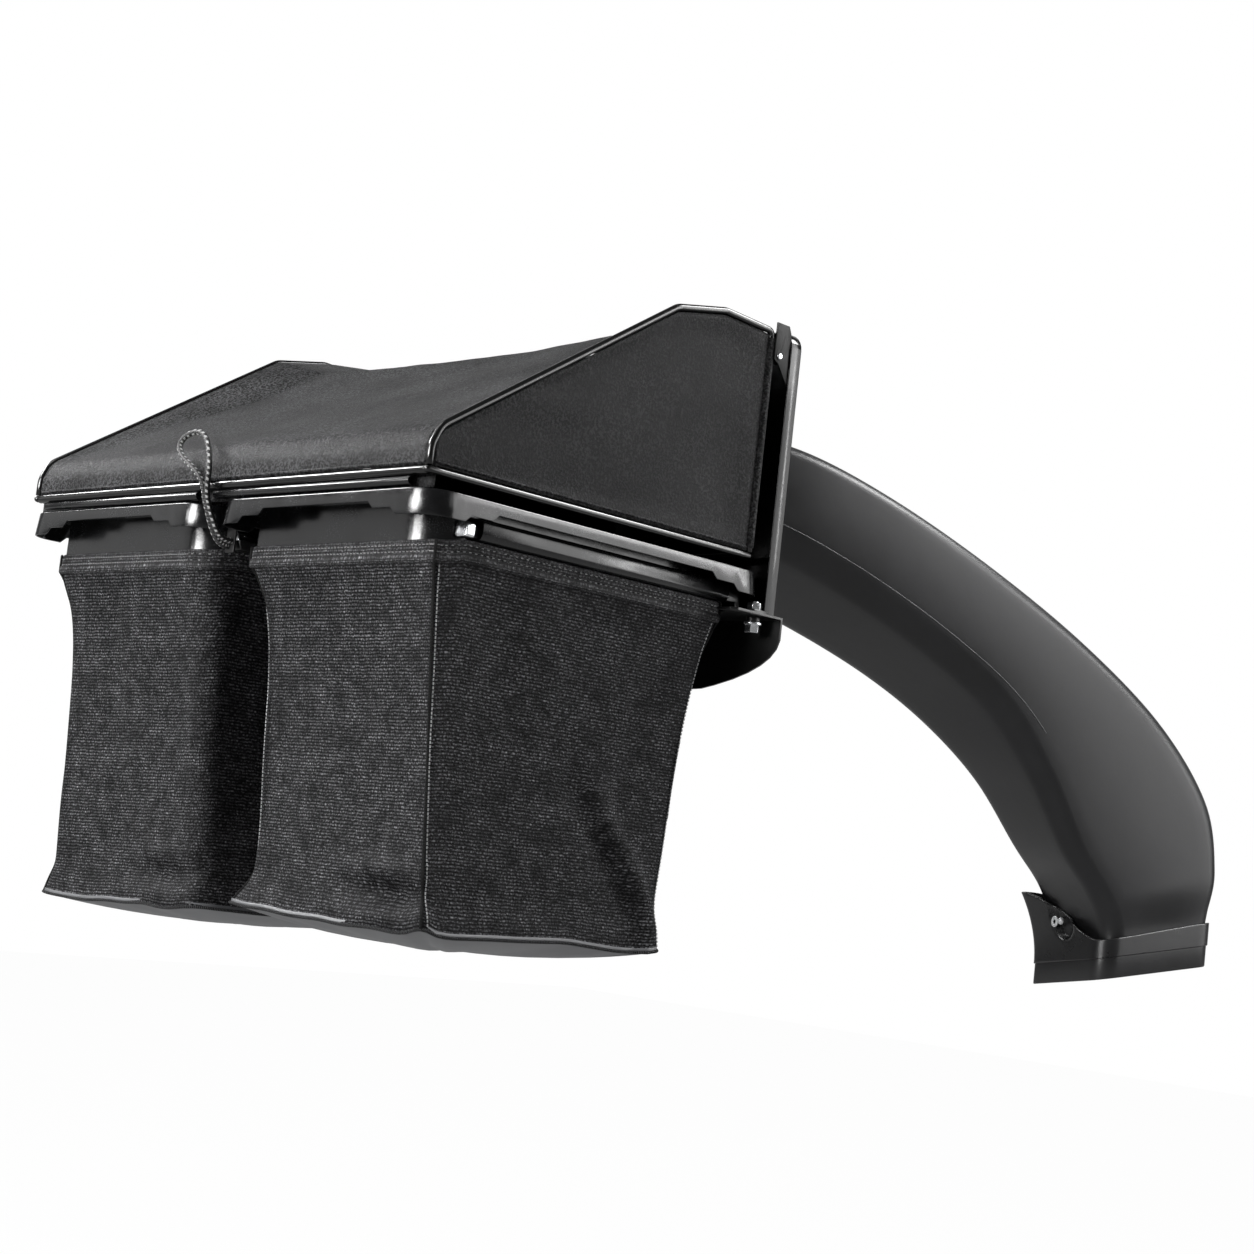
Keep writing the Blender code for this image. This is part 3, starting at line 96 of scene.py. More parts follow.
def add_node(tree: bpy.types.NodeTree, kind: str, inputs: dict | None = None,
             **settings: object) -> bpy.types.Node:
    """Add one node with its settings, values and links.

    Args:
        tree: node tree to add to.
        kind: the node's type name.
        inputs: socket name or number, and the value or the output linked to it.
        settings: attributes of the node.

    Returns:
        The new node.
    """
    made = tree.nodes.new(kind)
    for key, value in settings.items():
        setattr(made, key, value)
    for socket, value in (inputs or {}).items():
        if isinstance(value, bpy.types.NodeSocket):
            tree.links.new(value, made.inputs[socket])
        else:
            made.inputs[socket].default_value = value
    return made


@dataclass(frozen=True)
class Finish:
    """A finish: its colour, its gloss and how it was made.

    The sizes of its patterns are metres. One given as a fraction is so many to the metre.
    """

    title: str
    colour: str
    light: str
    roughness: float
    spread: float
    metallic: float = 0.0
    ior: float = 1.5
    shine: float = 0.5

    def surface(self) -> bpy.types.Material:
        """Give the material, made once.

        Returns:
            The finish's material.
        """
        known = bpy.data.materials.get(self.title)
        if known:
            return known
        material = bpy.data.materials.new(self.title)
        material.use_nodes = True
        tree = material.node_tree
        shader = tree.nodes["Principled BSDF"]
        shader.inputs["Metallic"].default_value = self.metallic
        shader.inputs["IOR"].default_value = self.ior
        shader.inputs["Specular IOR Level"].default_value = self.shine
        self.dress(tree, shader)
        return material

    def dress(self, tree: bpy.types.NodeTree, shader: bpy.types.Node) -> None:
        """Add the finish's own pattern; each finish has its own.

        Args:
            tree: the material's nodes.
            shader: its surface shader.
        """
        raise NotImplementedError

    def tint(self, tree: bpy.types.NodeTree, shader: bpy.types.Node,
             share: bpy.types.NodeSocket) -> None:
        """Mix the two colours and the roughness by a share from 0 to 1.

        Args:
            tree: the material's nodes.
            shader: its surface shader.
            share: 0 gives the dark colour, 1 the light one.
        """
        mix = add_node(tree, "ShaderNodeMix", {0: share, 6: srgb(self.colour), 7: srgb(self.light)},
                       data_type="RGBA")
        tree.links.new(mix.outputs[2], shader.inputs["Base Color"])
        gloss = add_node(tree, "ShaderNodeMapRange", {0: share, 3: self.roughness - self.spread,
                                                      4: self.roughness + self.spread})
        tree.links.new(gloss.outputs[0], shader.inputs["Roughness"])

    def emboss(self, tree: bpy.types.NodeTree, shader: bpy.types.Node,
               height: bpy.types.NodeSocket, depth: float,
               below: bpy.types.NodeSocket | None = None) -> bpy.types.NodeSocket:
        """Raise the surface by a height from 0 to 1, in metres of depth.

        Args:
            tree: the material's nodes.
            shader: its surface shader.
            height: the pattern's height.
            depth: metres from lowest to highest.
            below: a coarser relief that this one lies on.

        Returns:
            The relief's normal.
        """
        inputs: dict = {"Height": height, "Distance": depth, "Strength": 1.0}
        if below:
            inputs["Normal"] = below
        bump = add_node(tree, "ShaderNodeBump", inputs)
        tree.links.new(bump.outputs[0], shader.inputs["Normal"])
        return bump.outputs[0]


@dataclass(frozen=True)
class PolishedMoulding(Finish):
    """Black polypropylene from a polished mould: deep gloss, faint sink marks and haze."""

    patch: float = 0.060
    mark: float = 1 / 700
    sink: float = 0.0004

    def dress(self, tree: bpy.types.NodeTree, shader: bpy.types.Node) -> None:
        """Cloud the gloss over 60 mm patches and dull it with fine handling marks.

        Args:
            tree: the material's nodes.
            shader: its surface shader.
        """
        where = add_node(tree, "ShaderNodeTexCoord").outputs["Object"]
        cloud = add_node(tree, "ShaderNodeTexNoise", {"Vector": where, "Scale": 1 / self.patch,
                                                      "Detail": 5.0, "Roughness": 0.62})
        marks = add_node(tree, "ShaderNodeTexNoise", {"Vector": where, "Scale": 1 / self.mark,
                                                      "Detail": 2.0})
        both = add_node(tree, "ShaderNodeMath", {0: cloud.outputs[0], 1: marks.outputs[0]},
                        operation="MULTIPLY")
        spread = add_node(tree, "ShaderNodeMapRange", {0: both.outputs[0], 1: 0.16, 2: 0.42})
        self.tint(tree, shader, spread.outputs[0])
        self.emboss(tree, shader, cloud.outputs[0], self.sink)


@dataclass(frozen=True)
class CoatedSteel(Finish):
    """Steel under gloss black powder coat: an orange-peel skin a few millimetres wide."""

    peel: float = 0.003
    peel_depth: float = 0.00004
    haze: float = 1 / 24

    def dress(self, tree: bpy.types.NodeTree, shader: bpy.types.Node) -> None:
        """Add the coat's orange peel and slight dulling.

        Args:
            tree: the material's nodes.
            shader: its surface shader.
        """
        where = add_node(tree, "ShaderNodeTexCoord").outputs["Object"]
        peel = add_node(tree, "ShaderNodeTexNoise", {"Vector": where, "Scale": 1 / self.peel,
                                                     "Detail": 1.5})
        dull = add_node(tree, "ShaderNodeTexNoise", {"Vector": where, "Scale": 1 / self.haze,
                                                     "Detail": 4.0})
        self.tint(tree, shader, dull.outputs[0])
        self.emboss(tree, shader, peel.outputs[0], self.peel_depth)


@dataclass(frozen=True)
class ZincPlate(Finish):
    """Bright zinc on steel: cool white metal with cloudy passivation."""

    bloom: float = 1 / 180

    def dress(self, tree: bpy.types.NodeTree, shader: bpy.types.Node) -> None:
        """Cloud the plating over a few millimetres.

        Args:
            tree: the material's nodes.
            shader: its surface shader.
        """
        where = add_node(tree, "ShaderNodeTexCoord").outputs["Object"]
        cloud = add_node(tree, "ShaderNodeTexNoise", {"Vector": where, "Scale": 1 / self.bloom,
                                                      "Detail": 4.0})
        self.tint(tree, shader, cloud.outputs[0])


@dataclass(frozen=True)
class RibbedMesh(Finish):
    """Knitted polyester mesh: raised ribs run round the bag, broken into small loops.

    Real ribs lie 1 to 2 mm apart. They are drawn 2 to 4 mm apart, so that they show.
    """

    rib: float = 0.0043
    loop: float = 0.0050
    patch: float = 1 / 30
    fleck: float = 1 / 300
    height: float = 0.0013

    def dress(self, tree: bpy.types.NodeTree, shader: bpy.types.Node) -> None:
        """Draw ribs and loops from the piece's own map, which is in metres.

        Args:
            tree: the material's nodes.
            shader: its surface shader.
        """
        where = add_node(tree, "ShaderNodeTexCoord").outputs["UV"]
        ribs = add_node(tree, "ShaderNodeTexWave", {"Vector": where, "Scale": bands(self.rib),
                                                    "Distortion": 2.2, "Detail": 2.0,
                                                    "Detail Scale": 0.8}, bands_direction="Y")
        loops = add_node(tree, "ShaderNodeTexVoronoi", {"Vector": where, "Scale": 1 / self.loop,
                                                        "Randomness": 0.9},
                         feature="DISTANCE_TO_EDGE")
        patch = add_node(tree, "ShaderNodeTexNoise", {"Vector": where, "Scale": 1 / self.patch,
                                                      "Detail": 5.0, "Roughness": 0.8})
        fleck = add_node(tree, "ShaderNodeTexNoise", {"Vector": where, "Scale": 1 / self.fleck,
                                                      "Detail": 2.0})
        steps = [(ribs.outputs[1], 0.15, 0.75, 0.10), (loops.outputs[0], 0.02, 0.30, 0.25),
                 (patch.outputs[0], 0.38, 0.64, 0.18), (fleck.outputs[0], 0.42, 0.60, 0.12)]
        ranges = [add_node(tree, "ShaderNodeMapRange", {0: value, 1: low, 2: high, 3: least}).outputs[0]
                  for value, low, high, least in steps]
        thread = add_node(tree, "ShaderNodeMath", {0: ranges[0], 1: ranges[1]}, operation="MULTIPLY")
        worn = add_node(tree, "ShaderNodeMath", {0: ranges[2], 1: ranges[3]}, operation="MULTIPLY")
        share = add_node(tree, "ShaderNodeMath", {0: thread.outputs[0], 1: worn.outputs[0]},
                         operation="MULTIPLY")
        self.tint(tree, shader, share.outputs[0])
        self.emboss(tree, shader, thread.outputs[0], self.height)


@dataclass(frozen=True)
class PebbledCloth(Finish):
    """Coated cover cloth: a pebbled vinyl face, drawn 4 mm coarse so that it shows."""

    grain: float = 0.0036
    dust: float = 1 / 9
    height: float = 0.0007

    def dress(self, tree: bpy.types.NodeTree, shader: bpy.types.Node) -> None:
        """Draw the pebbles, with lighter tops, and dusty clouds.

        Args:
            tree: the material's nodes.
            shader: its surface shader.
        """
        where = add_node(tree, "ShaderNodeTexCoord").outputs["Object"]
        pebble = add_node(tree, "ShaderNodeTexNoise", {"Vector": where, "Scale": 1 / self.grain,
                                                       "Detail": 3.0, "Roughness": 0.72})
        dust = add_node(tree, "ShaderNodeTexNoise", {"Vector": where, "Scale": 1 / self.dust,
                                                     "Detail": 3.0})
        tops = add_node(tree, "ShaderNodeMapRange", {0: pebble.outputs[0], 1: 0.46, 2: 0.59})
        cloud = add_node(tree, "ShaderNodeMapRange", {0: dust.outputs[0], 1: 0.35, 2: 0.65, 3: 0.5,
                                                      4: 1.0})
        share = add_node(tree, "ShaderNodeMath", {0: tops.outputs[0], 1: cloud.outputs[0]},
                         operation="MULTIPLY")
        self.tint(tree, shader, share.outputs[0])
        self.emboss(tree, shader, tops.outputs[0], self.height)


@dataclass(frozen=True)
class SmoothSheet(Finish):
    """Calendered vinyl sheet: soft sheen with broad clouds from handling."""

    cloud: float = 1 / 12
    depth: float = 0.0008

    def dress(self, tree: bpy.types.NodeTree, shader: bpy.types.Node) -> None:
        """Cloud the sheet.

        Args:
            tree: the material's nodes.
            shader: its surface shader.
        """
        where = add_node(tree, "ShaderNodeTexCoord").outputs["Object"]
        cloud = add_node(tree, "ShaderNodeTexNoise", {"Vector": where, "Scale": 1 / self.cloud,
                                                      "Detail": 5.0})
        self.tint(tree, shader, cloud.outputs[0])
        self.emboss(tree, shader, cloud.outputs[0], self.depth)


@dataclass(frozen=True)
class BlownDuct(Finish):
    """Blow-moulded polyethylene: satin black skin with a sand-blast grain."""

    grain: float = 0.0011
    grain_depth: float = 0.00004
    cloud: float = 1 / 7
    cloud_depth: float = 0.0006

    def dress(self, tree: bpy.types.NodeTree, shader: bpy.types.Node) -> None:
        """Add the fine grain and slow clouds.

        Args:
            tree: the material's nodes.
            shader: its surface shader.
        """
        where = add_node(tree, "ShaderNodeTexCoord").outputs["Object"]
        grain = add_node(tree, "ShaderNodeTexNoise", {"Vector": where, "Scale": 1 / self.grain,
                                                      "Detail": 2.0})
        cloud = add_node(tree, "ShaderNodeTexNoise", {"Vector": where, "Scale": 1 / self.cloud,
                                                      "Detail": 6.0, "Roughness": 0.6})
        soft = add_node(tree, "ShaderNodeMapRange", {0: cloud.outputs[0], 1: 0.3, 2: 0.7})
        self.tint(tree, shader, soft.outputs[0])
        first = self.emboss(tree, shader, grain.outputs[0], self.grain_depth)
        self.emboss(tree, shader, cloud.outputs[0], self.cloud_depth, first)


@dataclass(frozen=True)
class BraidedCord(Finish):
    """Braided polyester cord: black with pairs of white tracer yarns."""

    pitch: float = 0.0076
    yarn: float = 0.0003

    def dress(self, tree: bpy.types.NodeTree, shader: bpy.types.Node) -> None:
        """Place flecks along a helix, from the cord's own map: turns and metres.

        Args:
            tree: the material's nodes.
            shader: its surface shader.
        """
        where = add_node(tree, "ShaderNodeTexCoord").outputs["UV"]
        parts = add_node(tree, "ShaderNodeSeparateXYZ", {0: where})
        turn = add_node(tree, "ShaderNodeMath", {0: parts.outputs[1], 1: 1 / self.pitch,
                                                 2: parts.outputs[0]}, operation="MULTIPLY_ADD")
        cross = add_node(tree, "ShaderNodeMath", {0: parts.outputs[0], 1: 3.0}, operation="MULTIPLY")
        flecks = []
        for value, limit in ((turn.outputs[0], 0.42), (cross.outputs[0], 0.40)):
            part = add_node(tree, "ShaderNodeMath", {0: value}, operation="FRACT")
            flecks.append(add_node(tree, "ShaderNodeMath", {0: part.outputs[0], 1: limit},
                                   operation="LESS_THAN").outputs[0])
        share = add_node(tree, "ShaderNodeMath", {0: flecks[0], 1: flecks[1]}, operation="MULTIPLY")
        self.tint(tree, shader, share.outputs[0])
        braid = add_node(tree, "ShaderNodeMath", {0: turn.outputs[0], 1: math.tau * 2},
                         operation="MULTIPLY")
        wave = add_node(tree, "ShaderNodeMath", {0: braid.outputs[0]}, operation="SINE")
        self.emboss(tree, shader, wave.outputs[0], self.yarn)


@dataclass(frozen=True)
class SewingThread(Finish):
    """Bonded sewing thread: a grey tracer with a waxed sheen."""

    change: float = 1 / 90

    def dress(self, tree: bpy.types.NodeTree, shader: bpy.types.Node) -> None:
        """Vary the thread from stitch to stitch.

        Args:
            tree: the material's nodes.
            shader: its surface shader.
        """
        where = add_node(tree, "ShaderNodeTexCoord").outputs["Object"]
        cloud = add_node(tree, "ShaderNodeTexNoise", {"Vector": where, "Scale": 1 / self.change,
                                                      "Detail": 1.0})
        self.tint(tree, shader, cloud.outputs[0])


# Mouldings: gloss that mirrors the lamps in soft bars, deepest on the panel
RIM_GLOSS = PolishedMoulding("polished_rim_moulding", "0b0b0c", "1f2022", 0.22, 0.08)
PANEL_GLOSS = PolishedMoulding("polished_panel_moulding", "080809", "131415", 0.16, 0.05,
                               shine=0.28)
# Powder coats: thin bright lines along the rods, less gloss on the plates, almost none at the hinge
ROD_COAT = CoatedSteel("black_powder_coat", "080808", "141414", 0.17, 0.05)
PLATE_COAT = CoatedSteel("black_plate_coat", "060606", "0f0f0f", 0.34, 0.08)
DULL_COAT = CoatedSteel("dull_black_coat", "050505", "0b0b0b", 0.52, 0.08, shine=0.2)
# Zinc: white sparks on bolts and stops, an even pale ring on the boot
BRIGHT_ZINC = ZincPlate("bright_zinc", "b4b6b9", "e2e3e5", 0.24, 0.08, 1.0)
SATIN_ZINC = ZincPlate("satin_zinc", "d6d8da", "f2f3f4", 0.46, 0.08, 1.0)
# Knits: broken grey ribs on black; finer on the hem, which is also painted lighter as a highlight on its
# bulging fold (the seam binding shares it); near black on the pipings
BAG_MESH = RibbedMesh("ribbed_bag_mesh", "040405", "c0c0c4", 0.74, 0.10, shine=0.08)
# Painted highlight: the hem knit's colours are lighter than the bag's, standing in for light on the hem's
# fold
HEM_MESH_PAINTED_HIGHLIGHT = RibbedMesh("ribbed_hem_tape", "161617", "d8d8dc", 0.70, 0.10, shine=0.15, rib=0.0024,
                      loop=0.0034)
PIPING = RibbedMesh("black_corner_piping", "040404", "1c1c1d", 0.70, 0.10, shine=0.15, rib=0.003)
# Coated cloths: charcoal grain; the sides' copy is painted darker as shade on the hood's sides, and is also
# duller
COVER_CLOTH = PebbledCloth("pebbled_cover_cloth", "040405", "6c6c6e", 0.62, 0.10, shine=0.12)
# Painted shade: the side cloth is a darker copy of the cover cloth, for the shade on the hood's sides
SIDE_CLOTH_PAINTED_SHADE = PebbledCloth("pebbled_side_cloth", "040405", "565657", 0.68, 0.10, shine=0.15)
# Smooth plastics: grey sheet under the bags, satin black duct and boot, pale scraped line
FLOOR_VINYL = SmoothSheet("grey_vinyl_floor", "5a5b5e", "7c7d80", 0.46, 0.08, shine=0.35)
DUCT_SKIN = BlownDuct("blown_duct_skin", "1d1d1e", "29292b", 0.36, 0.05, shine=0.34)
BOOT_SKIN = BlownDuct("moulded_boot_skin", "1c1c1d", "2a2a2c", 0.30, 0.05, shine=0.50)
DUCT_SEAM = BlownDuct("scraped_parting_line", "4c4c4e", "6e6e70", 0.40, 0.05)
# Cord and thread: white flecks and grey stitches that catch the eye on black
CORD_BRAID = BraidedCord("flecked_cord_braid", "0c0c0c", "d8d8d8", 0.62, 0.05)
THREAD = SewingThread("grey_tracer_thread", "a0a0a2", "e8e8ea", 0.50, 0.10)


# Mesh helpers

def shape_grid(columns: int, rows: int, place: Place,
               measure: tuple[float, float] = (1.0, 1.0)) -> Mesh:
    """Make a grid and move each of its points.

    Args:
        columns: faces along the grid's first direction.
        rows: faces along its second direction.
        place: gives the point of a column and row.
        measure: size of the UV map over the whole grid.

    Returns:
        The shaped grid.
    """
    bm = bmesh.new()
    layer = bm.loops.layers.uv.new("UVMap")
    bmesh.ops.create_grid(bm, x_segments=columns, y_segments=rows, size=0.5)
    cells = {v: (round((v.co.x + 0.5) * columns), round((v.co.y + 0.5) * rows)) for v in bm.verts}
    for face in bm.faces:
        for loop in face.loops:
            i, j = cells[loop.vert]
            loop[layer].uv = (i / columns * measure[0], j / rows * measure[1])
    for vert, (i, j) in cells.items():
        vert.co = place(i, j)
    return bm


def weld(bm: Mesh) -> Mesh:
    """Merge the points that meet, close poles and turn all faces outwards.

    Args:
        bm: the mesh.

    Returns:
        The same mesh.
    """
    bmesh.ops.remove_doubles(bm, verts=bm.verts, dist=2e-6)
    bmesh.ops.dissolve_degenerate(bm, edges=bm.edges, dist=1e-6)
    bmesh.ops.recalc_face_normals(bm, faces=bm.faces)
    return bm


def loft(rings: Sequence[Sequence[Vector]], measure: tuple[float, float] = (1.0, 1.0),
         closed: bool = False) -> Mesh:
    """Stretch a grid over rings of equal length, closed round each ring.

    Args:
        rings: points of each ring.
        measure: size of the UV map.
        closed: whether the last ring meets the first.

    Returns:
        The welded skin.
    """
    row_count = len(rings) if closed else len(rings) - 1
    count = len(rings[0])

    def place(i: int, j: int) -> Vector:
        """Give the ring's point."""
        return Vector(rings[j % len(rings)][i % count])

    return weld(shape_grid(count, row_count, place, measure))


def tube(path: Sequence[Vector], radius: float, sides: int = 14,
         end: EndShape = EndShape.ROUND) -> Mesh:
    """Sweep a round section along a path and close its ends.

    Args:
        path: centre line.
        radius: radius of the section.
        sides: faces round the section.
        end: shape of the ends.

    Returns:
        The closed tube, with a UV map of turns and metres.
    """
    points = [Vector(p) for p in path]
    runs = [(b - a).normalized() for a, b in zip(points, points[1:])]
    ahead = [runs[0]] + [(a + b).normalized() for a, b in zip(runs, runs[1:])] + [runs[-1]]
    lips = ((0.0, 1.0), (0.5, 0.866), (0.866, 0.5)) if end is EndShape.ROUND else (
        (0.0, 0.12), (0.86, 0.12), (0.97, 0.04))
    stations = [(points[0] - ahead[0] * radius * back, ahead[0], radius * wide)
                for wide, back in lips]
    stations += [(p, t, radius) for p, t in zip(points, ahead)]
    stations += [(points[-1] + ahead[-1] * radius * back, ahead[-1], radius * wide)
                 for wide, back in reversed(lips)]
    across = ahead[0].orthogonal().normalized()
    rings = []
    length = sum((b - a).length for a, b in zip(points, points[1:]))
    for centre, run, reach in stations:
        across = (across - run * across.dot(run)).normalized()
        other = run.cross(across)
        rings.append([centre + (across * math.cos(math.tau * k / sides)
                                + other * math.sin(math.tau * k / sides)) * max(reach, 1e-7)
                      for k in range(sides)])
    return loft(rings, (1.0, length))


def soften(bm: Mesh, width: float, segments: int = 2, angle: float = 30.0) -> Mesh:
    """Round the edges that are sharper than an angle in degrees.

    Args:
        bm: the mesh.
        width: width of the rounding.
        segments: steps of the rounding.
        angle: least angle of an edge that is rounded.

    Returns:
        The same mesh.
    """
    sharp = [e for e in bm.edges
             if e.is_manifold and e.calc_face_angle(0.0) > math.radians(angle)]
    bmesh.ops.bevel(bm, geom=sharp, offset=width, offset_type="OFFSET", segments=segments,
                    profile=0.5, affect="EDGES", material=-1, clamp_overlap=True)
    return bm


def join(parts: Sequence[Mesh]) -> Mesh:
    """Gather several meshes in one.

    Args:
        parts: the meshes, which are used up.

    Returns:
        The whole mesh.
    """
    whole = bmesh.new()
    for part in parts:
        data = bpy.data.meshes.new("joined")
        part.to_mesh(data)
        part.free()
        whole.from_mesh(data)
        bpy.data.meshes.remove(data)
    return whole


def make_piece(name: str, bm: Mesh, finish: Finish, body: str,
               stands_for: Sequence[str] = (), angle: float = 35.0) -> Thing:
    """Turn a mesh into a finished piece of the catcher.

    Args:
        name: the piece's name.
        bm: its mesh, which is used up.
        finish: its finish.
        body: the CAD body that it rides on.
        stands_for: CAD nodes that it replaces.
        angle: faces that meet below this many degrees are shaded as one.

    Returns:
        The new object.
    """
    data = bpy.data.meshes.new(name)
    bm.to_mesh(data)
    bm.free()
    data.shade_smooth()
    data.set_sharp_from_angle(angle=math.radians(angle))
    made = bpy.data.objects.new(name, data)
    data.materials.append(finish.surface())
    bpy.context.scene.collection.objects.link(made)
    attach(made, body)
    if stands_for:
        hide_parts(*stands_for)
    LOG.info("made %s", name)
    return made


def round_over(node: str, finish: Finish, body: str, width: float,
               segments: int = 2, taller: float = 0.0) -> Thing:
    """Replace a hard CAD node by a merged copy with rounded edges.

    Args:
        node: the CAD node.
        finish: its finish.
        body: the body that it rides on.
        width: width of the rounding.
        segments: steps of the rounding.
        taller: how much its upper half is raised.

    Returns:
        The piece that stands for the node.
    """
    bm = bmesh.new()
    bm.from_mesh(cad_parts[node].data)
    heights = [v.co.z for v in bm.verts]
    upper = [v for v in bm.verts if v.co.z > (min(heights) + max(heights)) / 2]
    bmesh.ops.translate(bm, verts=upper, vec=(0.0, 0.0, taller))
    bmesh.ops.remove_doubles(bm, verts=bm.verts, dist=1e-5)
    bmesh.ops.dissolve_limit(bm, angle_limit=math.radians(1.0), verts=bm.verts, edges=bm.edges)
    soften(bm, width, segments, 28.0)
    return make_piece(f"{node}_dressed", bm, finish, body, (node,))


def thicken(piece: Thing, thickness: float, offset: float = 0.0) -> Thing:
    """Give a skin its thickness.

    Args:
        piece: the skin.
        thickness: in metres.
        offset: -1 grows inwards, 0 both ways, 1 outwards.

    Returns:
        The same piece.
    """
    shell = piece.modifiers.new("thickness", "SOLIDIFY")
    shell.thickness = thickness
    shell.offset = offset
    return piece


def spline(points: Sequence[Sequence[float]], share: float) -> Vector:
    """Point at a share of a smooth curve through a row of points.

    Args:
        points: the curve's points.
        share: 0 at the first, 1 at the last.

    Returns:
        The point.
    """
    last = len(points) - 1
    span = min(int(share * last), last - 1)
    t = share * last - span
    before, start, end, after = (Vector(points[min(max(span + k, 0), last)]) for k in (-1, 0, 1, 2))
    return 0.5 * (2 * start + (end - before) * t
                  + (2 * before - 5 * start + 4 * end - after) * t * t
                  + (3 * start - before - 3 * end + after) * t ** 3)


def rounded_path(points: Sequence[Sequence[float]], radius: float, steps: int = 8) -> list[Vector]:
    """Replace the inner corners of a path by arcs.

    Args:
        points: the path's corners.
        radius: radius of each arc.
        steps: straight runs in each arc.

    Returns:
        The rounded path.
    """
    path = [Vector(points[0])]
    for before, corner, after in zip(points, points[1:], points[2:]):
        middle = Vector(corner)
        back = Vector(before) - middle
        ahead = Vector(after) - middle
        cut = min(radius / math.tan(back.angle(ahead) / 2), back.length * 0.45, ahead.length * 0.45)
        start = middle + back.normalized() * cut
        end = middle + ahead.normalized() * cut
        for i in range(steps + 1):
            t = i / steps
            path.append(start * (1 - t) ** 2 + middle * 2 * t * (1 - t) + end * t * t)
    path.append(Vector(points[-1]))
    return path


def even(path: Sequence[Vector], count: int) -> list[Vector]:
    """Place a number of points evenly along a path.

    Args:
        path: the points to follow.
        count: how many points to give.

    Returns:
        The evenly placed points.
    """
    lengths = [0.0]
    for first, second in zip(path, path[1:]):
        lengths.append(lengths[-1] + (second - first).length)
    line = []
    span = 0
    for i in range(count):
        target = lengths[-1] * i / (count - 1)
        while span < len(path) - 2 and lengths[span + 1] < target:
            span += 1
        share = (target - lengths[span]) / max(lengths[span + 1] - lengths[span], 1e-9)
        line.append(path[span].lerp(path[span + 1], min(share, 1.0)))
    return line


def smooth_step(low: float, high: float, value: float) -> float:
    """Rise smoothly from 0 at low to 1 at high."""
    t = min(max((value - low) / (high - low), 0.0), 1.0)
    return t * t * (3 - 2 * t)


def hump(value: float, centre: float, width: float) -> float:
    """Bell of height 1 about a centre."""
    return math.exp(-((value - centre) / width) ** 2)


@dataclass(frozen=True)
class LoopPoint:
    """Point of a rounded rectangle: its core corner share and its outward direction."""

    core_x: float
    core_y: float
    out_x: float
    out_y: float


def rounded_loop(corner: int, side: int) -> list[LoopPoint]:
    """Points round a rectangle, with steps in each corner and along each side.

    Args:
        corner: steps in each corner.
        side: steps along each side.

    Returns:
        The points, once round.
    """
    points = []
    signs = ((1, 1), (-1, 1), (-1, -1), (1, -1))
    for quarter, (sx, sy) in enumerate(signs):
        for i in range(corner + 1):
            angle = math.pi / 2 * (quarter + i / corner)
            points.append(LoopPoint(sx, sy, math.cos(angle), math.sin(angle)))
        nx, ny = signs[(quarter + 1) % 4]
        turn = math.pi / 2 * (quarter + 1)
        for k in range(1, side):
            t = k / side
            points.append(LoopPoint(sx + (nx - sx) * t, sy + (ny - sy) * t,
                                    math.cos(turn), math.sin(turn)))
    return points


def stitches(rows: Sequence[Sequence[Vector]], length: float, thick: float) -> Mesh:
    """Lay short threads end to end along rows of points, with a gap between them.

    Args:
        rows: points of each row, one stitch apart.
        length: length of a stitch.
        thick: its thickness.

    Returns:
        The stitches.
    """
    bm = bmesh.new()
    for row in rows:
        for a, b in zip(row, row[1:]):
            run = b - a
            turn = run.to_track_quat("X", "Z").to_matrix().to_4x4()
            size = Matrix.Diagonal((length, thick, thick, 1.0))
            bmesh.ops.create_cube(bm, size=1.0, matrix=Matrix.Translation((a + b) / 2) @ turn @ size)
    return bm


# Studio

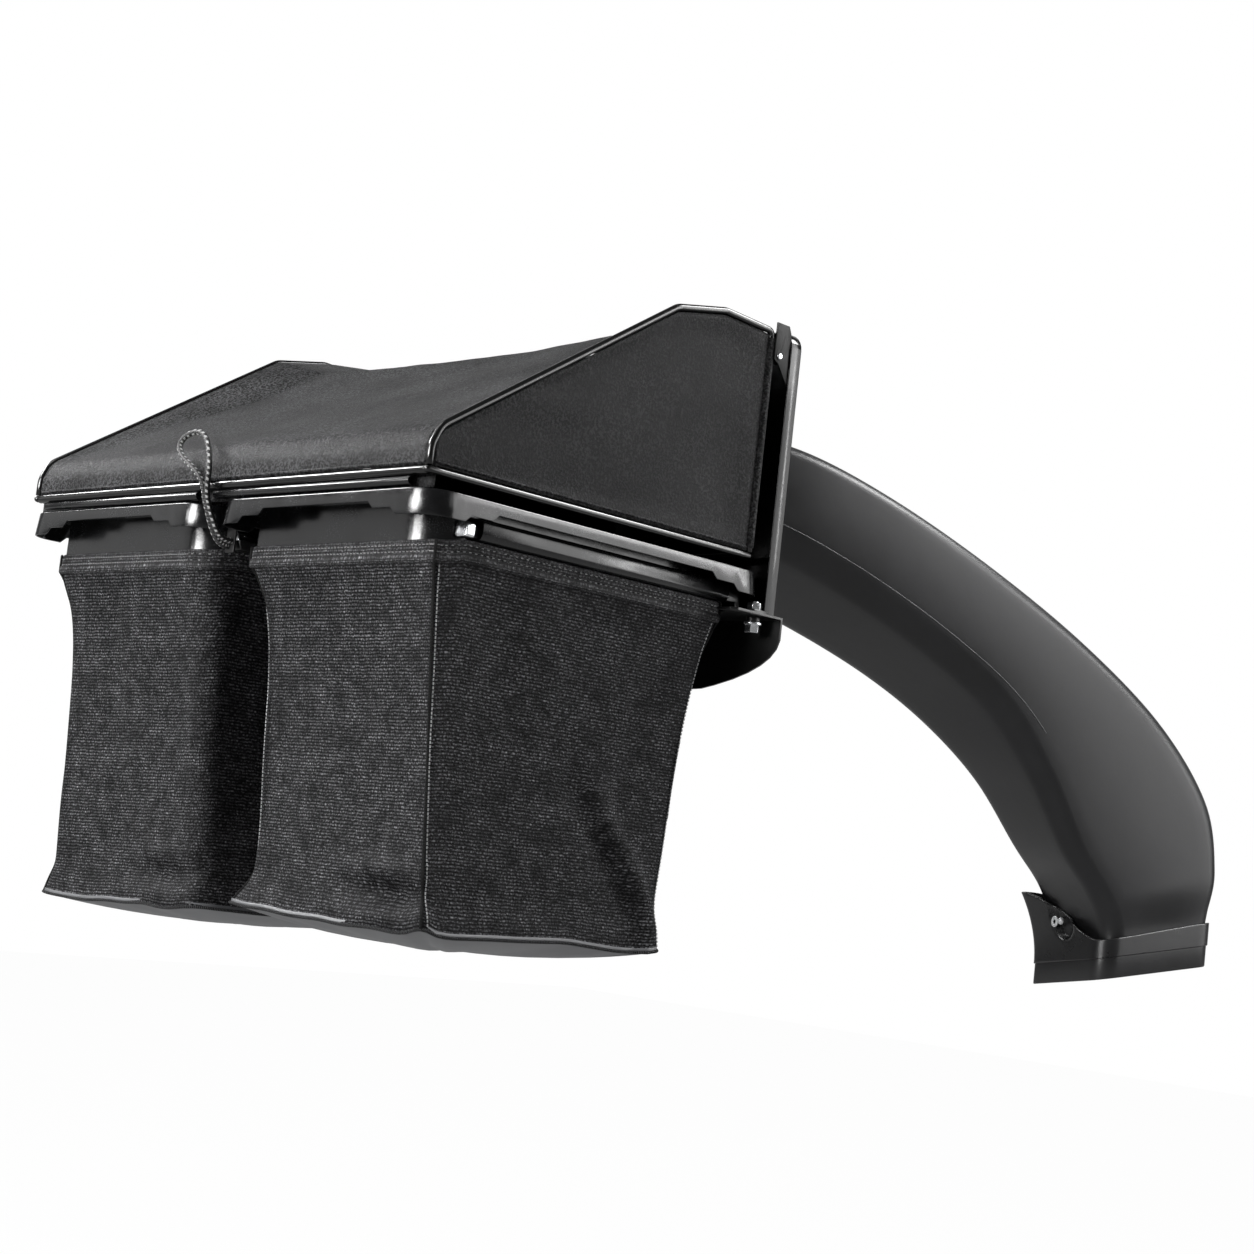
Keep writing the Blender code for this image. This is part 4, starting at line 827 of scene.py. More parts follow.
@dataclass
class Studio:
    """Camera, lamps, world and floor of the picture."""

    place: tuple[float, float, float] = (2.5670, -2.3750, -0.3309)
    azimuth: float = 45.198
    pitch: float = 6.434
    roll: float = 6.377
    focal_pixels: float = 2241.59
    image_pixels: float = 1254.0
    floor_z: float = -1.05
    world_strength: float = 0.10
    dark_side: float = 0.12

    def build(self) -> None:
        """Set up the whole studio."""
        self.camera()
        self.world()
        self.floor()
        self.lamp("overhead_softbox", (-0.6, -1.6, 2.7), (0.0, -0.4, 0.1), (1.8, 1.4), 24.0)
        self.lamp("rear_softbox", (-0.10, -4.05, 0.64), (0.3, -0.65, 0.09), (2.9, 0.9), 92.0)
        self.lamp("left_panel", (-2.35, -2.45, 0.50), (0.1, -0.6, 0.10), (2.2, 1.2), 6.0)
        self.lamp("upper_left_softbox", (-1.7, -1.9, 1.80), (0.1, -0.5, 0.20), (2.0, 0.8), 24.0)
        self.lamp("chute_softbox", (1.32, 1.42, 2.0), (0.55, 0.5, 0.2), (1.0, 0.6), 48.0)
        self.lamp("side_softbox", (2.95, 0.60, 0.90), (0.5, 0.2, 0.1), (1.2, 1.0), 4.0)
        self.lamp("bar_card", (-0.02, -3.95, 0.80), (0.3, -0.65, 0.09), (1.4, 1.8), 230.0, True)
        self.lamp("band_card", (1.95, 1.40, 1.35), (0.62, 0.45, 0.15), (0.9, 0.8), 16.0, True)
        self.lamp("rod_card", (-2.1, -1.75, 1.68), (0.0, -0.6, 0.15), (2.3, 0.4), 90.0, True)
        self.lamp("right_card", (2.23, 1.41, 0.50), (0.47, -0.34, 0.09), (2.0, 1.7), 34.0, True)
        self.lamp("flange_card", (2.11, 1.86, 0.68), (0.47, -0.01, 0.27), (0.12, 1.0), 6.0, True)

    def ahead(self) -> Vector:
        """Direction that the camera looks in."""
        a, p = math.radians(self.azimuth), math.radians(self.pitch)
        return Vector((-math.sin(a) * math.cos(p), math.cos(a) * math.cos(p), math.sin(p)))

    def camera(self) -> None:
        """Stand the camera where the photograph was taken from."""
        a, r = math.radians(self.azimuth), math.radians(self.roll)
        ahead = self.ahead()
        level = Vector((math.cos(a), math.sin(a), 0.0))
        above = level.cross(ahead)
        right = level * math.cos(r) + above * math.sin(r)
        up = above * math.cos(r) - level * math.sin(r)
        data = bpy.data.cameras.new("photo_camera")
        data.sensor_fit = "HORIZONTAL"
        data.sensor_width = 36.0
        data.lens = self.focal_pixels / self.image_pixels * data.sensor_width
        data.clip_end = 100.0
        eye = bpy.data.objects.new("photo_camera", data)
        turn = Matrix((right, up, -ahead)).transposed().to_4x4()
        eye.matrix_world = Matrix.Translation(self.place) @ turn
        bpy.context.scene.collection.objects.link(eye)
        bpy.context.scene.camera = eye

    def lamp(self, name: str, place: tuple[float, float, float], aim: tuple[float, float, float],
             size: tuple[float, float], power: float, mirrored_only: bool = False) -> None:
        """Hang one soft rectangular lamp, or a card that only gloss shows.

        Args:
            name: the lamp's name.
            place: where it hangs.
            aim: what it faces.
            size: its width and height.
            power: its power in watts.
            mirrored_only: whether only gloss shows it.
        """
        data = bpy.data.lights.new(name, "AREA")
        data.shape = "RECTANGLE"
        data.size, data.size_y = size
        data.energy = power
        made = bpy.data.objects.new(name, data)
        run = Vector(aim) - Vector(place)
        made.matrix_world = Matrix.Translation(place) @ run.to_track_quat("-Z", "Y").to_matrix().to_4x4()
        made.visible_diffuse = not mirrored_only
        bpy.context.scene.collection.objects.link(made)

    def world(self) -> None:
        """Light softly from all round, show white behind, and mirror a dark room in front."""
        world = bpy.data.worlds.new("studio_world")
        bpy.context.scene.world = world
        world.use_nodes = True
        tree = world.node_tree
        path = add_node(tree, "ShaderNodeLightPath")
        clear = add_node(tree, "ShaderNodeMath", {0: path.outputs["Is Camera Ray"],
                                                  1: path.outputs["Is Transmission Ray"]},
                         operation="MAXIMUM")
        sky = add_node(tree, "ShaderNodeTexCoord").outputs["Generated"]
        facing = add_node(tree, "ShaderNodeVectorMath", {0: sky, 1: self.ahead()},
                          operation="DOT_PRODUCT")
        studio = add_node(tree, "ShaderNodeMapRange", {0: facing.outputs["Value"], 1: 0.72, 2: 0.99,
                                                       3: self.dark_side, 4: 1.0})
        mirrored = add_node(tree, "ShaderNodeMix", {0: path.outputs["Is Glossy Ray"],
                                                    2: self.world_strength, 3: studio.outputs[0]})
        strength = add_node(tree, "ShaderNodeMix", {0: clear.outputs[0], 2: mirrored.outputs[0],
                                                    3: 1.0})
        back = tree.nodes["Background"]
        back.inputs["Color"].default_value = (1.0, 1.0, 1.0, 1.0)
        tree.links.new(strength.outputs[0], back.inputs["Strength"])
        bpy.context.scene.view_settings.view_transform = "Standard"

    def floor(self) -> None:
        """Lay a plain pale floor well below the catcher."""
        bm = shape_grid(1, 1, lambda i, j: Vector((i * 16 - 8, j * 16 - 8, self.floor_z)))
        data = bpy.data.meshes.new("studio_floor")
        bm.to_mesh(data)
        bm.free()
        ground = bpy.data.objects.new("studio_floor", data)
        material = bpy.data.materials.new("pale_floor")
        material.use_nodes = True
        tree = material.node_tree
        shader = tree.nodes["Principled BSDF"]
        shader.inputs["Base Color"].default_value = srgb("a8a8a8")
        shader.inputs["Roughness"].default_value = 0.9
        glow = add_node(tree, "ShaderNodeEmission", {"Color": (1.0, 1.0, 1.0, 1.0), "Strength": 1.02})
        path = add_node(tree, "ShaderNodeLightPath")
        seen = add_node(tree, "ShaderNodeMath", {0: path.outputs["Is Glossy Ray"], 1: 0.35,
                                                 2: path.outputs["Is Camera Ray"]},
                        operation="MULTIPLY_ADD")
        share = add_node(tree, "ShaderNodeMath", {0: seen.outputs[0], 1: 0.96}, operation="MULTIPLY")
        mix = add_node(tree, "ShaderNodeMixShader", {0: share.outputs[0], 1: shader.outputs[0],
                                                     2: glow.outputs[0]})
        tree.links.new(mix.outputs[0], tree.nodes["Material Output"].inputs["Surface"])
        data.materials.append(material)
        bpy.context.scene.collection.objects.link(ground)


# Pull cord

@dataclass
class PullCord:
    """The limp doubled cord that opens the latch, with its loop behind the hood."""

    diameter: float = 0.008
    rear_y: float = -0.655
    rim_z: float = 0.120
    samples: int = 46
    route: tuple[tuple[float, float, float], ...] = (
        (-0.004, 0.0441, -0.0555), (-0.004, 0.034, -0.0545), (-0.005, 0.024, -0.047),
        (-0.0055, 0.013, -0.030), (-0.0055, 0.004, -0.010), (-0.005, -0.003, 0.006),
        (-0.004, -0.009, 0.021), (-0.013, -0.013, 0.035), (-0.034, -0.014, 0.049),
        (-0.060, -0.011, 0.063), (-0.078, -0.006, 0.080), (-0.072, -0.001, 0.095),
        (-0.044, 0.000, 0.099), (-0.020, -0.003, 0.088), (0.000, -0.009, 0.066),
        (0.012, -0.0135, 0.044), (0.012, -0.013, 0.028), (0.005, -0.007, 0.010),
        (0.003, 0.000, -0.006), (0.003, 0.009, -0.024), (0.0035, 0.019, -0.040),
        (0.004, 0.031, -0.0475), (0.004, 0.0441, -0.0480))

    def build(self) -> None:
        """Lay the cord along its route."""
        knots = [(x, self.rear_y + y, self.rim_z + z) for x, y, z in self.route]
        path = [spline(knots, i / (self.samples - 1)) for i in range(self.samples)]
        length = sum((b - a).length for a, b in zip(path, path[1:]))
        bm = tube(path, self.diameter / 2, 16, EndShape.FLAT)
        cord = make_piece("braided_pull_cord", bm, CORD_BRAID, "hood", ("pull_cord",), 70.0)
        tuple(path[0])
        [tuple(p) for p in path]


# Bag rims

@dataclass
class BagRim:
    """A moulded rim: rounded deck, stepped skirt and neck, with its runners and stops."""

    side: Side
    width: float = 0.4525
    length: float = 0.630
    centre_x: float = 0.2435
    centre_y: float = -0.340
    top_z: float = 0.120
    corner: float = 0.045
    wall: float = 0.0025
    deck: float = 0.003
    flare: float = 0.0025
    skirt_low: float = 0.034
    skirt_mid: float = 0.025
    skirt_high: float = 0.016
    step: float = 0.010
    step_end: float = 0.062
    step_mid: float = 0.055
    neck_half_x: float = 0.18325
    neck_rear: float = -0.267
    neck_front: float = 0.253
    neck_depth: float = 0.086
    neck_corner: float = 0.058
    neck_rear_left: float = 0.006
    neck_left_out: float = 0.005
    runner_rise: float = 0.009
    runner_edge: float = 0.0005
    cap_edge: float = 0.0015
    lip: float = 0.0008
    edge: float = 0.0018
    steps: int = 12

    def skirt_stations(self, half: float) -> list[tuple[float, float]]:
        """Skirt depth along one side, with small rounds at its steps.

        Args:
            half: half the side's length.

        Returns:
            Places along the side, each with the skirt's depth there.
        """
        low_end = half - self.step_end
        mid_start = low_end - self.step
        mid_end = mid_start - self.step_mid + 2 * self.step
        high_start = mid_end - self.step
        rising = [(-low_end, self.skirt_low), (-mid_start, self.skirt_mid),
                  (-mid_end, self.skirt_mid), (-high_start, self.skirt_high)]
        return rising + [(-along, depth) for along, depth in reversed(rising)]

    def outline(self, inset: float) -> list[tuple[float, float, float]]:
        """Outline of the rim about its centre, with the skirt's depth at each point.

        Args:
            inset: how far inside the rim's edge.

        Returns:
            X, Y and depth of each point.
        """
        half_x, half_y = self.width / 2, self.length / 2
        signs = ((1, 1), (-1, 1), (-1, -1), (1, -1))
        points = []
        for quarter, (sx, sy) in enumerate(signs):
            radius = self.corner - inset
            cx, cy = sx * (half_x - self.corner), sy * (half_y - self.corner)
            for i in range(self.steps + 1):
                angle = math.pi / 2 * (quarter + i / self.steps)
                points.append((cx + radius * math.cos(angle), cy + radius * math.sin(angle),
                               self.skirt_low))
            run_x = quarter in (0, 2)
            across = (half_y if run_x else half_x) - inset
            heading = -1 if quarter in (0, 1) else 1
            for along, depth in self.skirt_stations(half_x if run_x else half_y):
                if run_x:
                    points.append((heading * along, sy * across, depth))
                else:
                    points.append((sx * across, heading * along, depth))
        return points

    def ring(self, inset: float, drop: float, follow: bool, flare: float) -> list[Vector]:
        """Ring of the deck or skirt; follow adds the skirt's own depth to the drop.

        Args:
            inset: how far inside the rim's edge.
            drop: how far below the deck's top.
            follow: whether the ring follows the skirt's steps.
            flare: how far the skirt leans out.

        Returns:
            The ring's points.
        """
        grow_x = 1 + flare / (self.width / 2)
        grow_y = 1 + flare / (self.length / 2)
        centre_x = self.side.value * self.centre_x
        return [Vector((centre_x + x * grow_x, self.centre_y + y * grow_y,
                        self.top_z - drop - (depth if follow else 0.0)))
                for x, y, depth in self.outline(inset)]

    def neck_ring(self, inset: float, drop: float) -> list[Vector]:
        """Ring of the neck at a drop below the deck's top.

        Args:
            inset: how far inside the neck's outer face.
            drop: how far below the deck's top.

        Returns:
            The ring's points.
        """
        half_x = self.neck_half_x - inset
        rear, front = self.neck_rear + inset, self.neck_front - inset
        rim_x, rim_y = self.width / 2 - self.corner, self.length / 2 - self.corner
        points = []
        for x, y, _ in self.outline(0.0):
            core_x, core_y = max(-rim_x, min(rim_x, x)), max(-rim_y, min(rim_y, y))
            out = Vector((x - core_x, y - core_y)).normalized()
            tight = (1 - core_x / rim_x) * (1 - core_y / rim_y) / 4
            radius = self.neck_corner + (self.neck_rear_left - self.neck_corner) * tight - inset
            cx = core_x / rim_x * (half_x - radius) - self.neck_left_out * (1 - core_x / rim_x) / 2
            cy = rear + radius + (core_y / rim_y + 1) / 2 * (front - rear - 2 * radius)
            points.append(Vector((self.side.value * self.centre_x + cx + radius * out.x,
                                  self.centre_y + cy + radius * out.y, self.top_z - drop)))
        return points

    def build(self) -> None:
        """Build the rim and dress its runners and stops."""
        lip, edge, low = self.lip, self.edge, self.neck_depth
        rings = [self.ring(edge, 0.0, False, 0.0), self.ring(edge * 0.5, edge * 0.13, False, 0.0),
                 self.ring(edge * 0.13, edge * 0.5, False, 0.0), self.ring(0.0, edge, False, 0.0),
                 self.ring(0.0, -lip, True, self.flare), self.ring(lip * 0.3, -lip * 0.3, True, self.flare),
                 self.ring(lip, 0.0, True, self.flare),
                 self.ring(self.wall - lip, 0.0, True, self.flare),
                 self.ring(self.wall, -lip, True, self.flare),
                 self.ring(self.wall, self.deck + 0.002, False, 0.0),
                 self.ring(self.wall + 0.002, self.deck, False, 0.0),
                 self.neck_ring(-0.004, self.deck), self.neck_ring(-0.001, self.deck + 0.001),
                 self.neck_ring(0.0, self.deck + 0.004), self.neck_ring(0.0, low - lip),
                 self.neck_ring(lip, low), self.neck_ring(self.wall - lip, low),
                 self.neck_ring(self.wall, low - lip), self.neck_ring(self.wall, edge),
                 self.neck_ring(self.wall - edge * 0.13, edge * 0.5),
                 self.neck_ring(self.wall - edge * 0.5, edge * 0.13),
                 self.neck_ring(self.wall - edge, 0.0)]
        word = self.side.word
        make_piece(f"moulded_rim_{word}", loft(rings, closed=True), RIM_GLOSS, "frame",
                   (f"bag_rim_{word}",), 38.0)
        for place in ("outer", "inner"):
            round_over(f"runner_{place}_{word}", RIM_GLOSS, "frame", self.runner_edge,
                       taller=self.runner_rise if place == "outer" else 0.0)
            round_over(f"arm_cap_{place}_{word}", BRIGHT_ZINC, "frame", self.cap_edge, 3)


# Bags

@dataclass(frozen=True)
class CornerHang:
    """How a bag's corner hangs: drawn in half-way, splayed, eared, dropped and slid aside."""

    pull: float = 0.005
    splay: float = 0.0
    ear: float = 0.006
    drop: float = 0.0
    slide: float = 0.0
    radius: float = 0.014
    piped: bool = True

    def out(self, fall: float) -> float:
        """Distance outwards at a share of the way down."""
        swell = -self.pull * math.sqrt(max(math.sin(math.pi * fall), 0.0))
        return swell + self.splay * fall + self.ear * smooth_step(0.88, 1.0, fall)


@dataclass(frozen=True)
class Dent:
    """A bell-shaped swell or hollow in a bag's rear wall, as shares across and down."""

    out: float
    across: float
    wide: float
    down: float
    tall: float

    def at(self, qx: float, fall: float) -> float:
        """Distance outwards at a place on the wall."""
        return self.out * hump(qx, self.across, self.wide) * hump(fall, self.down, self.tall)


@dataclass
class MeshBag:
    """A sewn mesh bag: ribbed wall, stitched hem, corner pipings and a vinyl floor."""

    side: Side
    centre_x: float = 0.2435
    hem_z: float = 0.063
    hem_rise: float = 0.008
    bottom_z: float = -0.423
    rear_y: float = -0.6083
    front_y: float = -0.0837
    half_x: float = 0.1915
    rear_slope: float = 0.050
    front_slope: float = 0.038
    waist: float = 0.012
    hem: float = 0.030
    hem_out: float = 0.003
    cloth: float = 0.0018
    vinyl: float = 0.0015
    floor_up: float = 0.006
    binding: float = 0.0022
    piping: float = 0.0021
    stitch: float = 0.0034
    hem_thread: float = 0.0008
    corner_thread: float = 0.0013
    fold: float = 0.013
    rows: int = 88
    hem_rows: tuple[float, ...] = (0.0072, 0.0158)
    hem_profile: tuple[tuple[float, float], ...] = (
        (0.0, 0.0002), (0.0012, 0.0020), (0.0060, 0.0024), (0.0075, 0.0008), (0.0090, 0.0026),
        (0.0145, 0.0028), (0.0160, 0.0008), (0.0175, 0.0036), (0.0250, 0.0046),
        (0.0285, 0.0041), (0.0300, 0.0003))
    dents: tuple[Dent, ...] = (
        Dent(-0.024, 0.62, 0.24, 0.905, 0.032), Dent(0.012, 0.52, 0.40, 0.840, 0.034),
        Dent(0.008, 0.55, 0.40, 0.965, 0.025))

    @property
    def bulge(self) -> float:
        """Sag of the vinyl floor, deeper in the right bag."""
        return 0.026 if self.side is Side.RIGHT else 0.019

    @property
    def tall(self) -> float:
        """Height of the wall, from the hem's top to the lower seam."""
        return self.hem_z - self.bottom_z

    @cached_property
    def hangs(self) -> dict[tuple[int, int], CornerHang]:
        """Corners by the signs of X and Y: each hangs in its own way."""
        if self.side is Side.RIGHT:
            return {(1, 1): CornerHang(0.005, -0.017, 0.006), (-1, 1): CornerHang(),
                    (-1, -1): CornerHang(0.019, 0.003, 0.010, radius=0.020),
                    (1, -1): CornerHang(0.003, slide=0.0015, radius=0.008)}
        return {(1, 1): CornerHang(drop=0.008), (-1, 1): CornerHang(drop=0.022),
                (1, -1): CornerHang(drop=0.013, radius=0.040, piped=False),
                (-1, -1): CornerHang(0.011, 0.0, 0.008, drop=0.026, radius=0.020)}

    def shared(self, qx: float, qy: float, value: Callable[[CornerHang], float]) -> float:
        """Share a value of the four corners out by the place round the bag.

        Args:
            qx: place across, from -1 to 1.
            qy: place along, from -1 to 1.
            value: what to take from each corner.

        Returns:
            The shared value.
        """
        qx, qy = max(-1.0, min(1.0, qx)), max(-1.0, min(1.0, qy))
        return sum((1 + sx * qx) * (1 + sy * qy) / 4 * value(hang)
                   for (sx, sy), hang in self.hangs.items())

    def point(self, at: LoopPoint, share: float, out: float = 0.0) -> Vector:
        """Point of the wall.

        Args:
            at: place round the bag.
            share: 0 at the hem's top, 1 at the lower seam.
            out: how far outside the wall.

        Returns:
            The point.
        """
        fall = min(max(0.0, (share * self.tall - self.hem) / (self.tall - self.hem)), 1.0)
        rear = self.rear_y + self.rear_slope * fall
        front = self.front_y - self.front_slope * fall
        half_y, mid_y = (front - rear) / 2, (front + rear) / 2
        radius = self.shared(at.core_x, at.core_y, lambda hang: hang.radius)
        x = at.core_x * (self.half_x - radius) + radius * at.out_x
        y = at.core_y * (half_y - radius) + radius * at.out_y
        qx, qy = x / self.half_x, y / half_y
        bow = self.waist * math.sin(math.pi * fall) ** 1.2
        away = 1 - min(abs(qx), 1.0) ** 4 * min(abs(qy), 1.0) ** 4
        out += self.shared(qx, qy, lambda hang: hang.out(fall)) - bow * away + self.folds(qx, qy, fall)
        out += self.hem_out * (1 - smooth_step(0.0, 0.10, fall))
        lift = self.hem_rise * smooth_step(-1.0, -0.8, qy) * (1 - fall)
        z = self.hem_z - share * self.tall + lift - self.shared(qx, qy, lambda hang: hang.drop) * fall
        slide = self.shared(qx, qy, lambda hang: hang.slide)
        z += self.seam_wave(qx, qy) * smooth_step(0.86, 1.0, share)
        across = x + slide + out * self.turn(at.out_x, at.core_x, qx)
        along = y + slide + out * self.turn(at.out_y, at.core_y, qy)
        return Vector((self.side.value * self.centre_x + across, mid_y + along, z))

    @staticmethod
    def turn(out: float, core: float, share: float) -> float:
        """Outward direction that also reaches the corners along both axes."""
        return max(min(out + math.copysign(0.4 * abs(share) ** 12, core), 1.0), -1.0)

    def folds(self, qx: float, qy: float, fall: float) -> float:
        """Folds, dents and ripples of the cloth, outwards.

        Args:
            qx: place across, from -1 to 1.
            qy: place along, from -1 to 1.
            fall: share of the way down.

        Returns:
            Distance outwards.
        """
        shift = self.side.value * 7.0
        ripple = noise.noise(Vector((qx * 2.2 + shift, qy * 2.2, fall * 2.0))) * 0.007
        fine = noise.noise(Vector((qx * 8 + shift, qy * 8, fall * 3.5))) * 0.0018
        body = smooth_step(0.0, 0.12, fall) * (1 - smooth_step(0.93, 1.0, fall))
        total = (ripple + fine) * body
        on_rear, on_right = smooth_step(-0.90, -0.97, qy), smooth_step(0.90, 0.97, qx)
        near = 1.0 if self.side is Side.RIGHT else 0.5
        total += near * on_rear * sum(dent.at(qx, fall) for dent in self.dents)
        ridge = 0.30 + 0.62 * smooth_step(0.45, 1.0, fall)
        pleat = hump(qy, ridge, 0.085) - 0.3 * hump(qy, ridge - 0.18, 0.10)
        total += self.fold * on_right * pleat * smooth_step(0.35, 0.70, fall)
        return total

    def seam_wave(self, qx: float, qy: float) -> float:
        """Rise of the lower seam at its corners, with a small waviness.

        Args:
            qx: place across, from -1 to 1.
            qy: place along, from -1 to 1.

        Returns:
            The rise.
        """
        shift = self.side.value * 3.0
        wave = noise.noise(Vector((qx * 2.5 + shift, qy * 2.5, 0.5))) * 0.006
        corner = min(abs(qx), 1.0) ** 14 * min(abs(qy), 1.0) ** 14
        return wave + 0.010 * corner

    def build(self) -> None:
        """Sew the bag."""
        word = self.side.word
        loop = rounded_loop(6, 30)
        share = 1 / self.rows
        rings = [[self.point(at, j * share) for at in loop] for j in range(self.rows + 1)]
        around = 4 * (self.half_x + (self.front_y - self.rear_y) / 2)
        wall = make_piece(f"mesh_wall_{word}", loft(rings, (around, self.tall)), BAG_MESH, "frame",
                          (f"bag_{word}",), 75.0)
        thicken(wall, self.cloth, -1.0)
        self.hem_tape(word, loop, around)
        self.pipings(word)
        self.floor(word)

    def hem_tape(self, word: str, loop: Sequence[LoopPoint], around: float) -> None:
        """Fold the hem over and sew it down in rows.

        Args:
            word: the side's word in the nodes' names.
            loop: places round the bag.
            around: length once round.
        """
        rings = [[self.point(at, drop / self.tall, out) for at in loop]
                 for drop, out in self.hem_profile]
        # The hem tape's lighter knit is a painted highlight on its fold
        make_piece(f"hem_tape_{word}", loft(rings, (around, self.hem)), HEM_MESH_PAINTED_HIGHLIGHT, "frame",
                   (), 75.0)
        rows = []
        fine = rounded_loop(5, 52)
        for drop in self.hem_rows:
            row = [self.point(at, drop / self.tall, 0.0024) for at in fine]
            rows.append(row + [row[0]])
        bm = stitches(rows, self.stitch, self.hem_thread)
        make_piece(f"hem_stitches_{word}", bm, THREAD, "frame", (), 80.0)

    def pipings(self, word: str) -> None:
        """Run a piping and a row of stitches down each corner.

        Args:
            word: the side's word in the nodes' names.
        """
        tubes = []
        rows = []
        for (sx, sy), hang in self.hangs.items():
            if not hang.piped:
                continue
            diagonal = math.sqrt(0.5)
            at = LoopPoint(sx, sy, sx * diagonal, sy * diagonal)
            beside = LoopPoint(sx, sy, sx * math.cos(0.1), sy * math.sin(0.1))
            path = [self.point(at, s, 0.0006 + 0.0030 * (1 - smooth_step(0.050, 0.075, s)))
                    for s in (0.004 + 0.992 * k / 80 for k in range(81))]
            tubes.append(tube(path, self.piping, 8))
            rows.append([self.point(beside, 0.01 + 0.98 * k / 92, 0.0007) for k in range(93)])
        make_piece(f"corner_piping_{word}", join(tubes), PIPING, "frame", (), 75.0)
        make_piece(f"corner_stitches_{word}", stitches(rows, self.stitch, self.corner_thread), THREAD,
                   "frame", (), 80.0)

    def floor(self, word: str) -> None:
        """Sew in the dished vinyl floor and bind its seam.

        Args:
            word: the side's word in the nodes' names.
        """
        loop = rounded_loop(6, 30)
        edge = [self.point(at, 1.0, -0.0016) for at in loop]
        middle = sum((p for p in edge), Vector()) / len(edge)
        shares = (1.0, 0.985, 0.95, 0.90, 0.82, 0.72, 0.60, 0.46, 0.32, 0.18, 0.08, 0.0)
        rings = [[p + Vector((0.0, 0.0, self.floor_up)) for p in edge]]
        for s in shares:
            sunk = self.bulge * (1 - s ** 2.4)
            ring = []
            for p in edge:
                wave = noise.noise(Vector((p.x * 7, p.y * 7, 2.0))) * 0.004 * (1 - s) * s * 3
                level = p.z * s + middle.z * (1 - s)
                ring.append(Vector((middle.x + (p.x - middle.x) * s,
                                    middle.y + (p.y - middle.y) * s, level - sunk + wave)))
            rings.append(ring)
        pan = make_piece(f"vinyl_floor_{word}", loft(rings), FLOOR_VINYL, "frame",
                         (f"bag_floor_{word}",), 75.0)
        thicken(pan, self.vinyl, 1.0)
        seam = [self.point(at, 1.0, 0.0004) for at in loop]
        # The seam binding uses the hem's lighter knit, which is a painted highlight
        make_piece(f"seam_binding_{word}", tube(seam + [seam[0]], self.binding, 8), HEM_MESH_PAINTED_HIGHLIGHT, "frame",
                   (), 75.0)


# Hitch plate and back panel

@dataclass
class HitchAndPanel:
    """The bent hitch plate, the tray-shaped panel and the bolts and arms between them."""

    plate_edge: float = 0.0012
    panel_edge: float = 0.0010
    latch_edge: float = 0.0015
    bolt_edge: float = 0.0008
    thin_edge: float = 0.0006
    pin_edge: float = 0.0004
    washer_edge: float = 0.0003

    def build(self) -> None:
        """Dress the hard pieces."""
        round_over("hitch_crossplate", PLATE_COAT, "frame", self.plate_edge, 3)
        round_over("back_panel", PANEL_GLOSS, "frame", self.panel_edge, 3)
        round_over("latch_arm", PLATE_COAT, "frame", self.latch_edge)
        round_over("boot_washer", SATIN_ZINC, "frame", self.washer_edge)
        for side in Side:
            self.fasteners(side.word)
        round_over("latch_hook", PLATE_COAT, "hood", self.thin_edge)

    def fasteners(self, word: str) -> None:
        """Dress the arms, bolts and hinge of one side.

        Args:
            word: the side's word in the nodes' names.
        """
        for place in ("outer", "inner"):
            round_over(f"support_arm_{place}_{word}", PLATE_COAT, "frame", self.panel_edge)
            round_over(f"arm_bolt_{place}_{word}", BRIGHT_ZINC, "frame", self.bolt_edge, 3)
            round_over(f"arm_nut_{place}_{word}", BRIGHT_ZINC, "frame", self.bolt_edge)
            round_over(f"bolt_spacer_{place}_{word}", PLATE_COAT, "frame", self.thin_edge)
        round_over(f"hinge_gusset_{word}", DULL_COAT, "frame", self.thin_edge)
        round_over(f"hinge_pin_{word}", BRIGHT_ZINC, "frame", self.pin_edge)
        round_over(f"pin_clip_{word}", BRIGHT_ZINC, "frame", self.pin_edge)
        round_over(f"hinge_ear_{word}", DULL_COAT, "hood", self.bolt_edge)


# Hood

